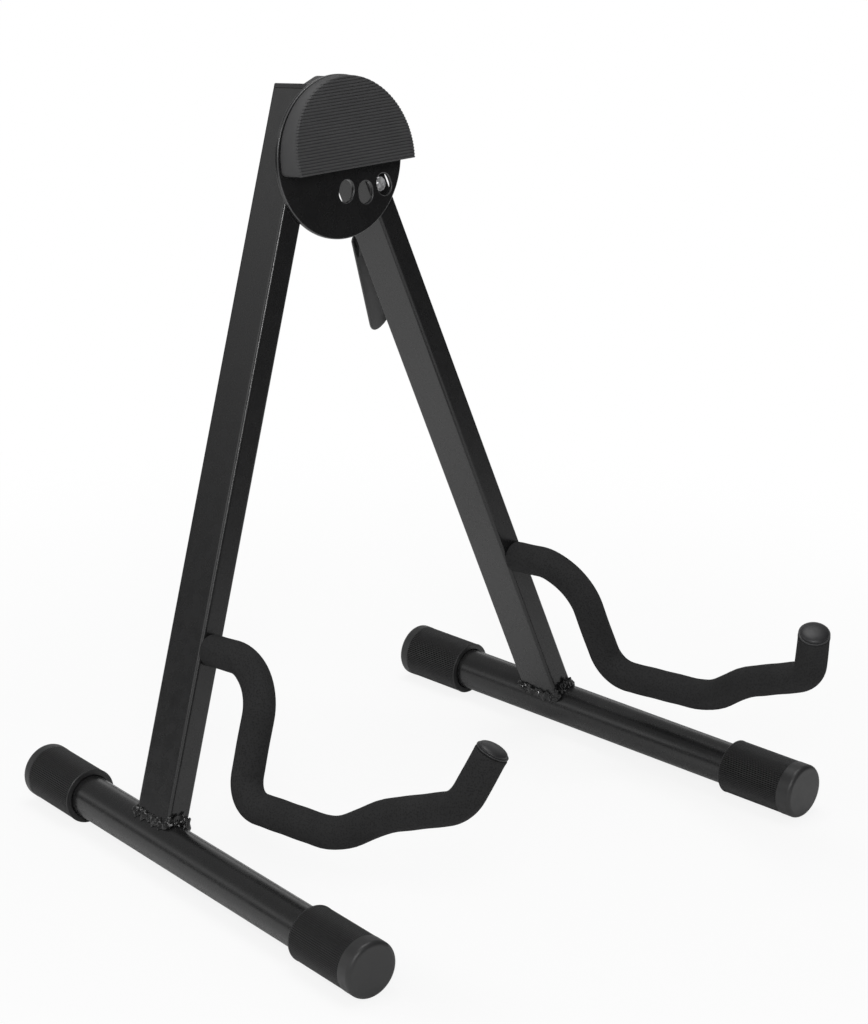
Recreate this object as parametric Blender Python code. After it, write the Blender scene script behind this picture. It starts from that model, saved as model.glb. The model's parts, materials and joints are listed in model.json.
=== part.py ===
"""A folding cello stand of tube and wire.

Two flat-sided legs cross under a round steel plate. The left leg is welded to
the plate. The right leg swings on a bolt behind it, and a spring pin in that
leg drops into one of three slots in the plate. Each leg stands on a round foot
tube with a rubber cap at both ends, and holds out one foam-covered wire arm.
The two arms cradle the cello, and a ribbed rubber pad on the plate backs it.

Metres, Z up, the front of the stand toward -Y. Left and right are as seen from
the front camera side: left is -X.
"""

import bmesh
import bpy
from math import asin, atan, ceil, cos, degrees, pi, radians, sin, sqrt, tan
from mathutils import Matrix, Vector

# Stance: how the legs splay sideways and lean back
SPLAY = radians(20.2)
LEAN = radians(8.4)
TOE_OUT = radians(4.1)
LEG_TOP_HALF_GAP = 0.01116
CLEARANCE = 0.0003
AXIS_MARK = 0.02

# Foot tubes and their rubber caps, measured from where the leg's axis meets the tube
FOOT_TUBE_RADIUS = 0.0127
FOOT_WALL = 0.0015
FOOT_SIDES = 32
FOOT_FRONT_REACH = 0.1976
FOOT_REAR_REACH = 0.1182
CAP_RADIUS = 0.0165
CAP_LENGTH = 0.048
CAP_END_WALL = 0.003
CAP_SIDES = 48
CAP_RIM = 0.0009
CAP_RIBS = 48
FRONT_RIB_LENGTH = 0.033
REAR_RIB_LENGTH = 0.0405
CAP_RIB_DEPTH = 0.0007
CAP_EDGE_ROUND = 0.0028

# Leg tubes and the plugs in their tops
LEG_WIDTH = 0.015
LEG_DEPTH = 0.030
LEG_WALL = 0.0015
LEG_CORNER = 0.002
LEG_LENGTH = 0.4325
PLUG_HEAD = 0.0027
PLUG_DEPTH = 0.014
PLUG_EDGE = 0.0006
WELD_SIZE = 0.0034
WELD_END_SIZE = 0.0014

# The pivot bolt that the right leg swings on, and the head plate that it passes through
PIVOT_BELOW_TOP = 0.0193
PIVOT_RADIUS = 0.004
PIVOT_HEAD_RADIUS = 0.008
PIVOT_HEAD_HEIGHT = 0.003
PIVOT_HEAD_BAND = 0.0015
PIVOT_HEAD_CROWN = 0.002
BOLT_CHAMFER = 0.0006
BOLT_END_PROUD = 0.0014
WASHER_RADIUS = 0.008
FRONT_WASHER_THICKNESS = 0.0018
REAR_WASHER_THICKNESS = 0.0015
NUT_ACROSS_FLATS = 0.013
NUT_HEIGHT = 0.0062
NUT_COLLAR = 0.0016
NUT_COLLAR_INSET = 0.00065
NUT_COLLAR_EDGE = 0.0007
PLATE_LEFT_OF_PIVOT = 0.0170
PLATE_BELOW_PIVOT = 0.0203
PLATE_RADIUS = 0.047
PLATE_THICKNESS = 0.0025
PLATE_EDGE = 0.0004
PLATE_SIDES = 72

# Index pin, and the three places that it holds the right leg at
INDEX_RADIUS_FROM_PIVOT = 0.0429
SLOT_COUNT = 3
SLOT_PITCH = radians(19.8)
SLOT_WIDTH = 0.0105
SLOT_LENGTH = 0.013
PIN_TIP_RADIUS = 0.00425
PIN_STEM_RADIUS = 0.003
PIN_COLLAR_RADIUS = 0.0054
PIN_COLLAR_THICKNESS = 0.0012
PIN_COLLAR_FORWARD = 0.0005
PIN_SHOULDER_FORWARD = 0.005
PIN_TAIL_PROUD = 0.006
PIN_TIP_CHAMFER = 0.001
PIN_TAIL_CHAMFER = 0.0006
SPRING_WIRE_RADIUS = 0.0004
SPRING_COIL_RADIUS = 0.0042
SPRING_TURNS = 5
SPRING_POINTS_PER_TURN = 9

# Squeeze lever: two cheeks pinned inside the leg, and a pressed tongue behind it.
# Each cheek has a boss on the lever's pin, and a finger up to the index pin's collar.
LEVER_PIN_BELOW_INDEX = 0.024
LEVER_PIN_FORWARD = -0.005
LEVER_PIN_RADIUS = 0.002
LEVER_PIN_CHAMFER = 0.0003
LEVER_SHEET = 0.0015
LEVER_WIDTH = 0.016
LEVER_SHOULDER = 0.0048
LEVER_TILT = radians(13.3)
LEVER_SQUEEZE = radians(3.6)
LEVER_TOP_DROP = 0.005
LEVER_TOP_BACK = 0.0113
LEVER_LENGTH = 0.0735
LEVER_GUTTER = 0.0015
LEVER_SLOT_ABOVE = 0.0017
CHEEK_START = 0.0015
CHEEK_LENGTH = 0.017
CHEEK_TOE = 0.0012
CHEEK_HEEL = (0.0090, -0.0103)
CHEEK_BOSS = 0.0042
KNEE_UP = 0.0132
FINGER_BELOW = 0.0065
FINGER_ABOVE = 0.0038
FINGER_NICK = 0.0006

# Back pad, a thick ribbed segment of a circle that thins toward its top.
# Its screws are placed (right of, above) the middle of its circle.
PAD_RIGHT_OF_PLATE = 0.0020
PAD_ABOVE_PLATE = 0.0020
PAD_RADIUS = 0.0434
PAD_CHORD_BELOW = 0.0079
PAD_CORNER = 0.0015
PAD_BOTTOM_THICKNESS = 0.0122
PAD_TAPER = 0.15
PAD_RIB_PITCH = 0.00175
PAD_RIB_CREST = 0.0009
PAD_RIB_DEPTH = 0.0006
PAD_ARC_STEPS = 36
SCREW_RADIUS = 0.0019
SCREW_HEAD_RADIUS = 0.0035
SCREW_HEAD_HEIGHT = 0.0019
SCREW_HEAD_BEVEL = 0.0010
SCREW_POINT = 0.0006
SCREW_LENGTH = 0.0080
SCREW_PLACES = ((-0.0028, 0.0225), (0.0312, 0.0145))

# Yoke arms: a wire bent in the leg's own plane, with a foam sleeve and a plug.
# Each bend is (forward of the leg's middle, up along the leg, bend radius).
YOKE_ROD_RADIUS = 0.004
YOKE_SLEEVE_RADIUS = 0.00925
YOKE_HEIGHT = 0.111
YOKE_BENDS = (
    (0.0650, 0.1095, 0.028),
    (0.0655, 0.0330, 0.016),
    (0.1465, 0.0300, 0.025),
    (0.1790, 0.0475, 0.025),
    (0.2335, 0.0625, 0.020),
)
YOKE_TIP = (0.2475, 0.0935)
YOKE_SIDES = 16
YOKE_ROD_SIDES = 10
BEND_STEP = radians(15)
TIP_RADIUS = 0.0085
TIP_BAND = 0.0013
TIP_DOME = 0.0039
TIP_STEM = 0.010

# Sizes that follow from the ones above
FOOT_AXIS_HEIGHT = CAP_RADIUS * cos(pi / CAP_SIDES)
HALF_STANCE = LEG_TOP_HALF_GAP + LEG_LENGTH * sin(SPLAY)
LEG_FRONT = LEG_DEPTH / 2
PLATE_BACK = LEG_FRONT + CLEARANCE
PLATE_FRONT = PLATE_BACK + PLATE_THICKNESS
PAD_BACK = PLATE_FRONT + CLEARANCE
WASHER_GAP = FRONT_WASHER_THICKNESS + 2 * CLEARANCE
RIGHT_LEG_BACK = WASHER_GAP - CLEARANCE
PIVOT_X = HALF_STANCE - (LEG_LENGTH - PIVOT_BELOW_TOP) * sin(SPLAY)
PIVOT_UP = (LEG_LENGTH - PIVOT_BELOW_TOP) * cos(SPLAY)
PLATE_X = PIVOT_X - PLATE_LEFT_OF_PIVOT
PLATE_UP = PIVOT_UP - PLATE_BELOW_PIVOT
PAD_X = PLATE_X + PAD_RIGHT_OF_PLATE
PAD_UP = PLATE_UP + PAD_ABOVE_PLATE
FOLD_ANGLE = (SLOT_COUNT - 1) * SLOT_PITCH
PIN_TIP_FORWARD = LEG_FRONT + WASHER_GAP - CLEARANCE
CHEEK_INSIDE = PIN_STEM_RADIUS + 3 * CLEARANCE
CHEEK_OUTSIDE = CHEEK_INSIDE + LEVER_SHEET
CHEEK_SEAT = LEVER_TOP_BACK - CLEARANCE
CHEEK_TOP = -LEVER_TOP_DROP - CHEEK_START
CHEEK_END = (CHEEK_SEAT + CHEEK_LENGTH * tan(LEVER_TILT), CHEEK_TOP - CHEEK_LENGTH)

FORWARD = Matrix.Rotation(radians(90), 4, "X")
REARWARD = Matrix.Rotation(radians(-90), 4, "X")
SIDEWAYS = Matrix.Rotation(radians(90), 4, "Y")

world = {}


def clear_scene():
    """Remove every object of the scene that the file opened with."""
    for obj in list(bpy.data.objects):
        bpy.data.objects.remove(obj, do_unlink=True)


def frame(name, matrix, parent=None):
    """Add an empty at a world matrix, to carry pieces or to mark a joint's axis."""
    obj = bpy.data.objects.new(name, None)
    obj.empty_display_size = AXIS_MARK
    bpy.context.scene.collection.objects.link(obj)
    if parent is not None:
        obj.parent = parent
        obj.matrix_basis = world[parent.name].inverted() @ matrix
    else:
        obj.matrix_basis = matrix
    world[name] = matrix
    return obj


def finish(name, colour, roughness, metallic):
    """Return a material with the piece's colour, roughness and metallic value."""
    mat = bpy.data.materials.get(name)
    if mat is None:
        mat = bpy.data.materials.new(name)
        mat.use_nodes = True
        shader = mat.node_tree.nodes["Principled BSDF"]
        shader.inputs["Base Color"].default_value = (*colour, 1.0)
        shader.inputs["Roughness"].default_value = roughness
        shader.inputs["Metallic"].default_value = metallic
        mat.diffuse_color = (*colour, 1.0)
    return mat


def powder_coat():
    return finish("powder_coat", (0.030, 0.030, 0.032), 0.42, 0.0)


def cap_rubber():
    return finish("cap_rubber", (0.038, 0.038, 0.040), 0.70, 0.0)


def pad_rubber():
    return finish("pad_rubber", (0.045, 0.045, 0.047), 0.75, 0.0)


def foam():
    return finish("foam", (0.030, 0.030, 0.031), 0.95, 0.0)


def plug_plastic():
    return finish("plug_plastic", (0.034, 0.034, 0.036), 0.45, 0.0)


def bright_steel():
    return finish("bright_steel", (0.62, 0.62, 0.63), 0.22, 1.0)


def zinc_steel():
    return finish("zinc_steel", (0.42, 0.43, 0.45), 0.35, 1.0)


def polygon_circle(radius, sides, phase=0.5):
    """Points round a circle, with a flat at the bottom when phase is a half."""
    return [(radius * cos(2 * pi * (k + phase) / sides),
             radius * sin(2 * pi * (k + phase) / sides)) for k in range(sides)]


def rounded_rectangle(width, depth, radius, corner_steps=3, side_steps=1):
    """Points round a rectangle with round corners, counter-clockwise."""
    centres = ((1, 1, 0), (-1, 1, 90), (-1, -1, 180), (1, -1, 270))
    corners = []
    for sx, sy, start in centres:
        cx, cy = sx * (width / 2 - radius), sy * (depth / 2 - radius)
        arc = []
        for k in range(corner_steps + 1):
            angle = radians(start + 90 * k / corner_steps)
            arc.append((cx + radius * cos(angle), cy + radius * sin(angle)))
        corners.append(arc)
    points = []
    for k, arc in enumerate(corners):
        points += arc
        end, start = Vector(arc[-1]), Vector(corners[(k + 1) % 4][0])
        for step in range(1, side_steps):
            points.append(tuple(end.lerp(start, step / side_steps)))
    return points


def obround(width, length, steps=8):
    """Points round a slot with half-round ends, its length along Y."""
    radius, shift = width / 2, (length - width) / 2
    points = []
    for sign in (1, -1):
        for k in range(steps + 1):
            angle = pi * k / steps + (0 if sign > 0 else pi)
            points.append((radius * cos(angle), radius * sin(angle) + sign * shift))
    return points


def raise_points(points, height):
    """Give flat points one height."""
    return [(x, y, height) for x, y in points]


def skin(bm, rings, closed=False):
    """Join rings of equal counts with quads. Cap the ends, unless the rings close on themselves."""
    rows = [[bm.verts.new(point) for point in ring] for ring in rings]
    count = len(rows[0])
    pairs = list(zip(rows, rows[1:]))
    if closed:
        pairs.append((rows[-1], rows[0]))
    else:
        bm.faces.new(rows[0])
        bm.faces.new(rows[-1])
    for low, high in pairs:
        for k in range(count):
            nxt = (k + 1) % count
            bm.faces.new((low[k], low[nxt], high[nxt], high[k]))
    bmesh.ops.recalc_face_normals(bm, faces=bm.faces)


def lathe(bm, profile, sides, closed=False):
    """Turn (radius, height) points about Z."""
    skin(bm, [raise_points(polygon_circle(r, sides), z) for r, z in profile], closed)


def prism(bm, points, low, high):
    """Extrude an outline between two heights."""
    skin(bm, [raise_points(points, low), raise_points(points, high)])


def piece(name, bm, material, parent, matrix=None, smooth=True):
    """Turn a bmesh into a named object under an empty, placed by a matrix in that empty's frame."""
    mesh = bpy.data.meshes.new(name)
    bm.to_mesh(mesh)
    bm.free()
    obj = bpy.data.objects.new(name, mesh)
    bpy.context.scene.collection.objects.link(obj)
    obj.parent = parent
    if matrix is not None:
        obj.matrix_basis = matrix
    if material is not None:
        mesh.materials.append(material)
    if smooth:
        mesh.shade_smooth()
        mesh.set_sharp_from_angle(angle=radians(32))
    return obj


def tool(name, bm, parent, matrix=None):
    """Make a shape that only cuts or joins, and never shows."""
    obj = piece(name, bm, None, parent, matrix, smooth=False)
    obj.hide_render = True
    obj.display_type = "WIRE"
    return obj


def combine(obj, other, operation):
    """Add a Boolean of another object, with the exact solver."""
    modifier = obj.modifiers.new(operation.lower() + "_" + other.name, "BOOLEAN")
    modifier.operation = operation
    modifier.solver = "EXACT"
    modifier.object = other


def cylinder_tool(name, radius, low, high, parent, matrix, sides=24):
    """A round cutter along its own Z."""
    bm = bmesh.new()
    lathe(bm, [(radius, low), (radius, high)], sides)
    return tool(name, bm, parent, matrix)


def build_frames():
    """Place the empties: the stand, the head's tilted plane, both legs and both feet."""
    up = Matrix.Translation((0, 0, FOOT_AXIS_HEIGHT))
    lean = Matrix.Rotation(-LEAN, 4, "X")
    stand = frame("stand", Matrix.Identity(4))
    head_matrix = up @ lean
    head = frame("head", head_matrix, stand)

    left_base = Matrix.Translation((-HALF_STANCE, 0, FOOT_AXIS_HEIGHT))
    left_leg = frame("left_leg", left_base @ lean @ Matrix.Rotation(SPLAY, 4, "Y"), stand)
    left_foot = frame("left_foot", left_base @ Matrix.Rotation(-TOE_OUT, 4, "Z"), stand)

    pivot_matrix = head_matrix @ Matrix.Translation((PIVOT_X, RIGHT_LEG_BACK, PIVOT_UP))
    pivot = frame("pivot_axis", pivot_matrix, stand)
    down_leg = (pivot_matrix.translation.z - FOOT_AXIS_HEIGHT) / (cos(SPLAY) * cos(LEAN))
    splayed = pivot_matrix @ Matrix.Rotation(-SPLAY, 4, "Y")
    right_matrix = splayed @ Matrix.Translation((0, 0, -down_leg))
    right_leg = frame("right_leg", right_matrix, pivot)
    right_base = Matrix.Translation(right_matrix.translation)
    right_foot = frame("right_foot", right_base @ Matrix.Rotation(TOE_OUT, 4, "Z"), right_leg)
    return {"stand": stand, "head": head, "left_leg": left_leg, "left_foot": left_foot,
            "pivot": pivot, "right_leg": right_leg, "right_foot": right_foot,
            "pivot_along": down_leg}


def foot_tube(side, foot):
    """The round tube that lies on the floor's side of each leg."""
    bm = bmesh.new()
    inner = FOOT_TUBE_RADIUS - FOOT_WALL
    rear = FOOT_REAR_REACH - CAP_END_WALL - 2 * CLEARANCE
    front = FOOT_FRONT_REACH - CAP_END_WALL - 2 * CLEARANCE
    lathe(bm, [(FOOT_TUBE_RADIUS, -front), (FOOT_TUBE_RADIUS, rear), (inner, rear),
               (inner, -front)], FOOT_SIDES, closed=True)
    piece(side + "_foot_tube", bm, powder_coat(), foot, REARWARD)


def cap_body(bm, rib_end):
    """The plain turned body of a foot cap, its mouth at z 0, with a groove where the ribs go."""
    groove = CAP_RADIUS - CAP_RIB_DEPTH - 2 * CLEARANCE
    profile = [(CAP_RADIUS, 0), (CAP_RADIUS, CAP_RIM), (groove, CAP_RIM), (groove, rib_end),
               (CAP_RADIUS, rib_end)]
    for k in range(4):
        angle = radians(30 * k)
        profile.append((CAP_RADIUS - CAP_EDGE_ROUND * (1 - cos(angle)),
                        CAP_LENGTH - CAP_EDGE_ROUND * (1 - sin(angle))))
    lathe(bm, profile, CAP_SIDES)


def foot_cap(name, rib_length, foot, matrix):
    """A rubber cap with fine ribs round its grip and a smooth band at its closed end."""
    rib_end = CAP_RIM + rib_length
    bm = bmesh.new()
    cap_body(bm, rib_end)
    cap = piece(name, bm, cap_rubber(), foot, matrix)

    crest = CAP_RADIUS - CLEARANCE / 2
    ribs = []
    for k in range(2 * CAP_RIBS):
        radius = crest - (CAP_RIB_DEPTH if k % 2 else 0)
        angle = pi * (k + 0.5) / CAP_RIBS
        ribs.append((radius * cos(angle), radius * sin(angle)))
    bite = CAP_RIM / 2
    bm = bmesh.new()
    prism(bm, ribs, CAP_RIM - bite, rib_end + bite)
    combine(cap, tool(name + "_ribs", bm, foot, matrix), "UNION")

    bore = cylinder_tool(name + "_bore", FOOT_TUBE_RADIUS + CLEARANCE, -CAP_END_WALL,
                         CAP_LENGTH - CAP_END_WALL, foot, matrix, FOOT_SIDES)
    combine(cap, bore, "DIFFERENCE")


def foot_caps(side, foot):
    """One cap on each end of a foot tube. The ribs run nearly the whole length of the rear one."""
    rear_mouth = Matrix.Translation((0, FOOT_REAR_REACH - CAP_LENGTH, 0)) @ REARWARD
    front_mouth = Matrix.Translation((0, CAP_LENGTH - FOOT_FRONT_REACH, 0)) @ FORWARD
    foot_cap(side + "_rear_cap", REAR_RIB_LENGTH, foot, rear_mouth)
    foot_cap(side + "_front_cap", FRONT_RIB_LENGTH, foot, front_mouth)


def leg_tube(side, leg, foot):
    """A flat-sided tube, its lower end hollowed out to sit on the round foot tube."""
    outer = rounded_rectangle(LEG_WIDTH, LEG_DEPTH, LEG_CORNER)
    inner = rounded_rectangle(LEG_WIDTH - 2 * LEG_WALL, LEG_DEPTH - 2 * LEG_WALL,
                              max(LEG_CORNER - LEG_WALL, CLEARANCE))
    bm = bmesh.new()
    skin(bm, [raise_points(outer, 0), raise_points(outer, LEG_LENGTH),
              raise_points(inner, LEG_LENGTH), raise_points(inner, 0)], closed=True)
    leg_obj = piece(side + "_leg_tube", bm, powder_coat(), leg)
    saddle = cylinder_tool(side + "_saddle", FOOT_TUBE_RADIUS + CLEARANCE, -LEG_DEPTH,
                           LEG_DEPTH, foot, REARWARD, FOOT_SIDES)
    combine(leg_obj, saddle, "DIFFERENCE")
    return leg_obj


def leg_plug(side, leg):
    """The moulded plug that closes the top of a leg."""
    head_low = LEG_LENGTH + CLEARANCE
    head_high = head_low + PLUG_HEAD
    slack = 2 * (LEG_WALL + CLEARANCE)
    stem = rounded_rectangle(LEG_WIDTH - slack, LEG_DEPTH - slack, CLEARANCE)
    head = rounded_rectangle(LEG_WIDTH, LEG_DEPTH, LEG_CORNER)
    crown = rounded_rectangle(LEG_WIDTH - 2 * PLUG_EDGE, LEG_DEPTH - 2 * PLUG_EDGE,
                              LEG_CORNER - PLUG_EDGE / 2)
    bm = bmesh.new()
    skin(bm, [raise_points(stem, head_low - PLUG_DEPTH), raise_points(stem, head_low),
              raise_points(head, head_low), raise_points(head, head_high - PLUG_EDGE),
              raise_points(crown, head_high)])
    piece(side + "_leg_plug", bm, plug_plastic(), leg)


def height_on_tube(to_foot, x, y, radius):
    """Height along the leg at which the line through (x, y) meets a cylinder about the foot's axis."""
    start = to_foot @ Vector((x, y, 0))
    way = to_foot.to_3x3() @ Vector((0, 0, 1))
    a = way.x ** 2 + way.z ** 2
    b = start.x * way.x + start.z * way.z
    c = start.x ** 2 + start.z ** 2 - radius ** 2
    return (-b + sqrt(b * b - a * c)) / a


def fillet_section(size, steps=3):
    """Cross-section of a weld bead: its root, and a quarter round from one surface to the other."""
    section = [(CLEARANCE, CLEARANCE)]
    for k in range(steps + 1):
        angle = pi / 2 * k / steps
        section.append((CLEARANCE + size * sin(angle), CLEARANCE + size * cos(angle)))
    return section


def foot_weld(side, leg, foot):
    """The bead that runs all round the foot of a leg, where it meets the foot tube."""
    to_foot = world[foot.name].inverted() @ world[leg.name]
    rows = []
    for offset, lift in fillet_section(WELD_SIZE):
        path = rounded_rectangle(LEG_WIDTH + 2 * offset, LEG_DEPTH + 2 * offset,
                                 LEG_CORNER + offset, corner_steps=4, side_steps=5)
        rows.append([(x, y, height_on_tube(to_foot, x, y, FOOT_TUBE_RADIUS + lift))
                     for x, y in path])
    bm = bmesh.new()
    skin(bm, rows, closed=True)
    piece(side + "_foot_weld", bm, powder_coat(), leg)


def bent_wire(start, bends, end):
    """Follow straight runs with an arc at each bend. Returns (point, direction) stations."""
    corners = [Vector(start)] + [Vector(b[:2]) for b in bends] + [Vector(end)]
    stations = [(corners[0], (corners[1] - corners[0]).normalized())]
    for k, bend in enumerate(bends):
        before = (corners[k + 1] - corners[k]).normalized()
        after = (corners[k + 2] - corners[k + 1]).normalized()
        turn = before.angle_signed(after)
        radius = bend[2]
        arc_start = corners[k + 1] - before * radius * tan(abs(turn) / 2)
        toward = Vector((before.y, -before.x)) * (1 if turn > 0 else -1)
        centre = arc_start + toward * radius
        steps = max(1, ceil(abs(turn) / BEND_STEP))
        for step in range(steps + 1):
            swing = Matrix.Rotation(-turn * step / steps, 2)
            stations.append((centre + swing @ (arc_start - centre), swing @ before))
    stations.append((corners[-1], (corners[-1] - corners[-2]).normalized()))
    return stations


def wire_rings(stations, radius, sides):
    """Rings of points square to a wire that lies in the leg's own forward-and-up plane."""
    rings = []
    for point, way in stations:
        ring = []
        for across, out in polygon_circle(radius, sides):
            ring.append((across, -(point.x - out * way.y), point.y + out * way.x))
        rings.append(ring)
    return rings


def yoke_arm(side, leg):
    """A bent wire arm: the steel rod, the foam sleeve over it and the plug in the sleeve's end."""
    start = (LEG_FRONT + CLEARANCE, YOKE_HEIGHT)
    tip = Vector(YOKE_TIP)
    way = (tip - Vector(YOKE_BENDS[-1][:2])).normalized()
    rod_end = tip - way * (TIP_STEM + CLEARANCE)

    bm = bmesh.new()
    skin(bm, wire_rings(bent_wire(start, YOKE_BENDS, rod_end), YOKE_ROD_RADIUS, YOKE_ROD_SIDES))
    piece(side + "_yoke_rod", bm, zinc_steel(), leg)

    stations = bent_wire(start, YOKE_BENDS, tip)
    outside = wire_rings(stations, YOKE_SLEEVE_RADIUS, YOKE_SIDES)
    inside = wire_rings(stations, YOKE_ROD_RADIUS + 2 * CLEARANCE, YOKE_SIDES)
    bm = bmesh.new()
    skin(bm, outside + inside[::-1], closed=True)
    piece(side + "_yoke_sleeve", bm, foam(), leg)

    bm = bmesh.new()
    brow = CLEARANCE + TIP_BAND
    profile = [(YOKE_ROD_RADIUS, -TIP_STEM), (YOKE_ROD_RADIUS, CLEARANCE),
               (TIP_RADIUS, CLEARANCE), (TIP_RADIUS, brow)]
    for degree in (25, 50, 75):
        angle = radians(degree)
        profile.append((TIP_RADIUS * cos(angle), brow + TIP_DOME * sin(angle)))
    lathe(bm, profile, YOKE_SIDES)
    aim = Matrix.Rotation(atan(way.x / way.y), 4, "X")
    seat = Matrix.Translation((0, -tip.x, tip.y)) @ aim
    piece(side + "_yoke_tip", bm, plug_plastic(), leg, seat)


def screw_seats():
    """Where the pad's screws go, each facing forward out of the head's plane."""
    return [Matrix.Translation((PAD_X + right, 0, PAD_UP + up)) @ FORWARD
            for right, up in SCREW_PLACES]


def head_plate(head):
    """The round plate: three index slots, the pivot hole and the pad's screw holes."""
    edge = PLATE_RADIUS - PLATE_EDGE
    bm = bmesh.new()
    lathe(bm, [(edge, PLATE_BACK), (PLATE_RADIUS, PLATE_BACK + PLATE_EDGE),
               (PLATE_RADIUS, PLATE_FRONT - PLATE_EDGE), (edge, PLATE_FRONT)], PLATE_SIDES)
    plate = piece("head_disc", bm, powder_coat(), head,
                  Matrix.Translation((PLATE_X, 0, PLATE_UP)) @ FORWARD)
    low, high = PLATE_BACK - PLATE_THICKNESS, PLATE_FRONT + PLATE_THICKNESS
    at_pivot = Matrix.Translation((PIVOT_X, 0, PIVOT_UP)) @ FORWARD
    for k in range(SLOT_COUNT):
        bm = bmesh.new()
        prism(bm, obround(SLOT_WIDTH, SLOT_LENGTH), low, high)
        turn = Matrix.Rotation(SPLAY - k * SLOT_PITCH, 4, "Z")
        drop = Matrix.Translation((0, -INDEX_RADIUS_FROM_PIVOT, 0))
        slot = tool("index_slot_%d" % (k + 1), bm, head, at_pivot @ turn @ drop)
        combine(plate, slot, "DIFFERENCE")
    hole = cylinder_tool("pivot_hole", PIVOT_RADIUS + CLEARANCE, low, high, head, at_pivot)
    combine(plate, hole, "DIFFERENCE")
    for k, seat in enumerate(screw_seats()):
        hole = cylinder_tool("screw_hole_%d" % (k + 1), SCREW_RADIUS + CLEARANCE, low, high,
                             head, seat, 16)
        combine(plate, hole, "DIFFERENCE")


def plate_weld(left_leg):
    """Two beads up the sides of the left leg, where the plate's back meets it."""
    to_leg = world[left_leg.name].inverted() @ world["head"]
    centre = to_leg @ Vector((PLATE_X, 0, PLATE_UP))
    for side, name in ((-1, "outer"), (1, "inner")):
        edge = side * (LEG_WIDTH / 2 + WELD_SIZE) - centre.x
        half = sqrt(PLATE_RADIUS ** 2 - edge ** 2)
        low = centre.z - half + WELD_SIZE
        high = min(centre.z + half, LEG_LENGTH) - WELD_SIZE
        rings = []
        for height, size in ((low, WELD_END_SIZE), (low + WELD_SIZE, WELD_SIZE),
                             (high - WELD_SIZE, WELD_SIZE), (high, WELD_END_SIZE)):
            ring = [(side * (LEG_WIDTH / 2 + offset), lift - LEG_FRONT, height)
                    for offset, lift in fillet_section(size)]
            rings.append(ring)
        bm = bmesh.new()
        skin(bm, rings)
        piece("disc_weld_" + name, bm, powder_coat(), left_leg)


def pad_outline():
    """The pad's outline from the front: most of a circle above a straight lower edge."""
    low = -asin((PAD_CHORD_BELOW - PAD_CORNER) / PAD_RADIUS)
    points = []
    for k in range(PAD_ARC_STEPS + 1):
        angle = low + (pi - 2 * low) * k / PAD_ARC_STEPS
        points.append((PAD_RADIUS * cos(angle), PAD_RADIUS * sin(angle)))
    foot = points[0][0] - PAD_CORNER
    points += [(-foot, -PAD_CHORD_BELOW), (foot, -PAD_CHORD_BELOW)]
    return points


def pad_rib_profile():
    """Side view of the ribbed face, bottom to top, closed well behind the plate: (forward, up)."""
    count = ceil((PAD_RADIUS + PAD_CHORD_BELOW) / PAD_RIB_PITCH) + 1
    valley = (PAD_RIB_PITCH - PAD_RIB_CREST) / 3
    points = []
    for k in range(count):
        for step, depth in ((0, 0), (PAD_RIB_CREST, 0), (PAD_RIB_CREST + valley, PAD_RIB_DEPTH),
                            (PAD_RIB_PITCH - valley, PAD_RIB_DEPTH)):
            rise = k * PAD_RIB_PITCH + step
            face = PAD_BACK + PAD_BOTTOM_THICKNESS - PAD_TAPER * rise
            points.append((face - depth, rise - PAD_CHORD_BELOW))
    behind = PAD_BACK - PLATE_THICKNESS
    points[0] = (points[0][0], points[0][1] - PAD_RIB_PITCH)
    return points + [(behind, points[-1][1]), (behind, points[0][1])]


def back_pad(head):
    """The rubber pad that the cello's back leans on, with a pocket for the pivot bolt's head."""
    place = Matrix.Translation((PAD_X, 0, PAD_UP)) @ FORWARD
    bm = bmesh.new()
    prism(bm, pad_outline(), PAD_BACK, PAD_BACK + 2 * PAD_BOTTOM_THICKNESS)
    pad = piece("back_pad", bm, pad_rubber(), head, place, smooth=False)

    reach = 2 * PAD_RADIUS
    left = [(-reach, up, forward) for forward, up in pad_rib_profile()]
    right = [(reach, up, forward) for forward, up in pad_rib_profile()]
    bm = bmesh.new()
    skin(bm, [left, right])
    combine(pad, tool("pad_ribbed_wedge", bm, head, place), "INTERSECT")

    at_pivot = Matrix.Translation((PIVOT_X, 0, PIVOT_UP)) @ FORWARD
    pocket = cylinder_tool("pad_pocket", PIVOT_HEAD_RADIUS + 2 * CLEARANCE, PLATE_FRONT,
                           PAD_BACK + PIVOT_HEAD_HEIGHT + 2 * CLEARANCE, head, at_pivot)
    combine(pad, pocket, "DIFFERENCE")
    for k, seat in enumerate(screw_seats()):
        hole = cylinder_tool("pad_screw_hole_%d" % (k + 1), SCREW_RADIUS + CLEARANCE,
                             PLATE_FRONT, PLATE_BACK + SCREW_LENGTH + CLEARANCE, head, seat, 16)
        combine(pad, hole, "DIFFERENCE")


def pad_screws(head):
    """Two screws from behind the plate into the pad."""
    head_front = PLATE_BACK - CLEARANCE
    head_back = head_front - SCREW_HEAD_HEIGHT
    point = PLATE_BACK + SCREW_LENGTH
    profile = [(SCREW_HEAD_RADIUS - SCREW_HEAD_BEVEL, head_back),
               (SCREW_HEAD_RADIUS, head_back + SCREW_HEAD_BEVEL),
               (SCREW_HEAD_RADIUS, head_front), (SCREW_RADIUS, head_front),
               (SCREW_RADIUS, point - SCREW_RADIUS), (SCREW_POINT, point)]
    for seat, side in zip(screw_seats(), ("left", "right")):
        bm = bmesh.new()
        lathe(bm, profile, 16)
        piece("pad_screw_" + side, bm, zinc_steel(), head, seat)


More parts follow.
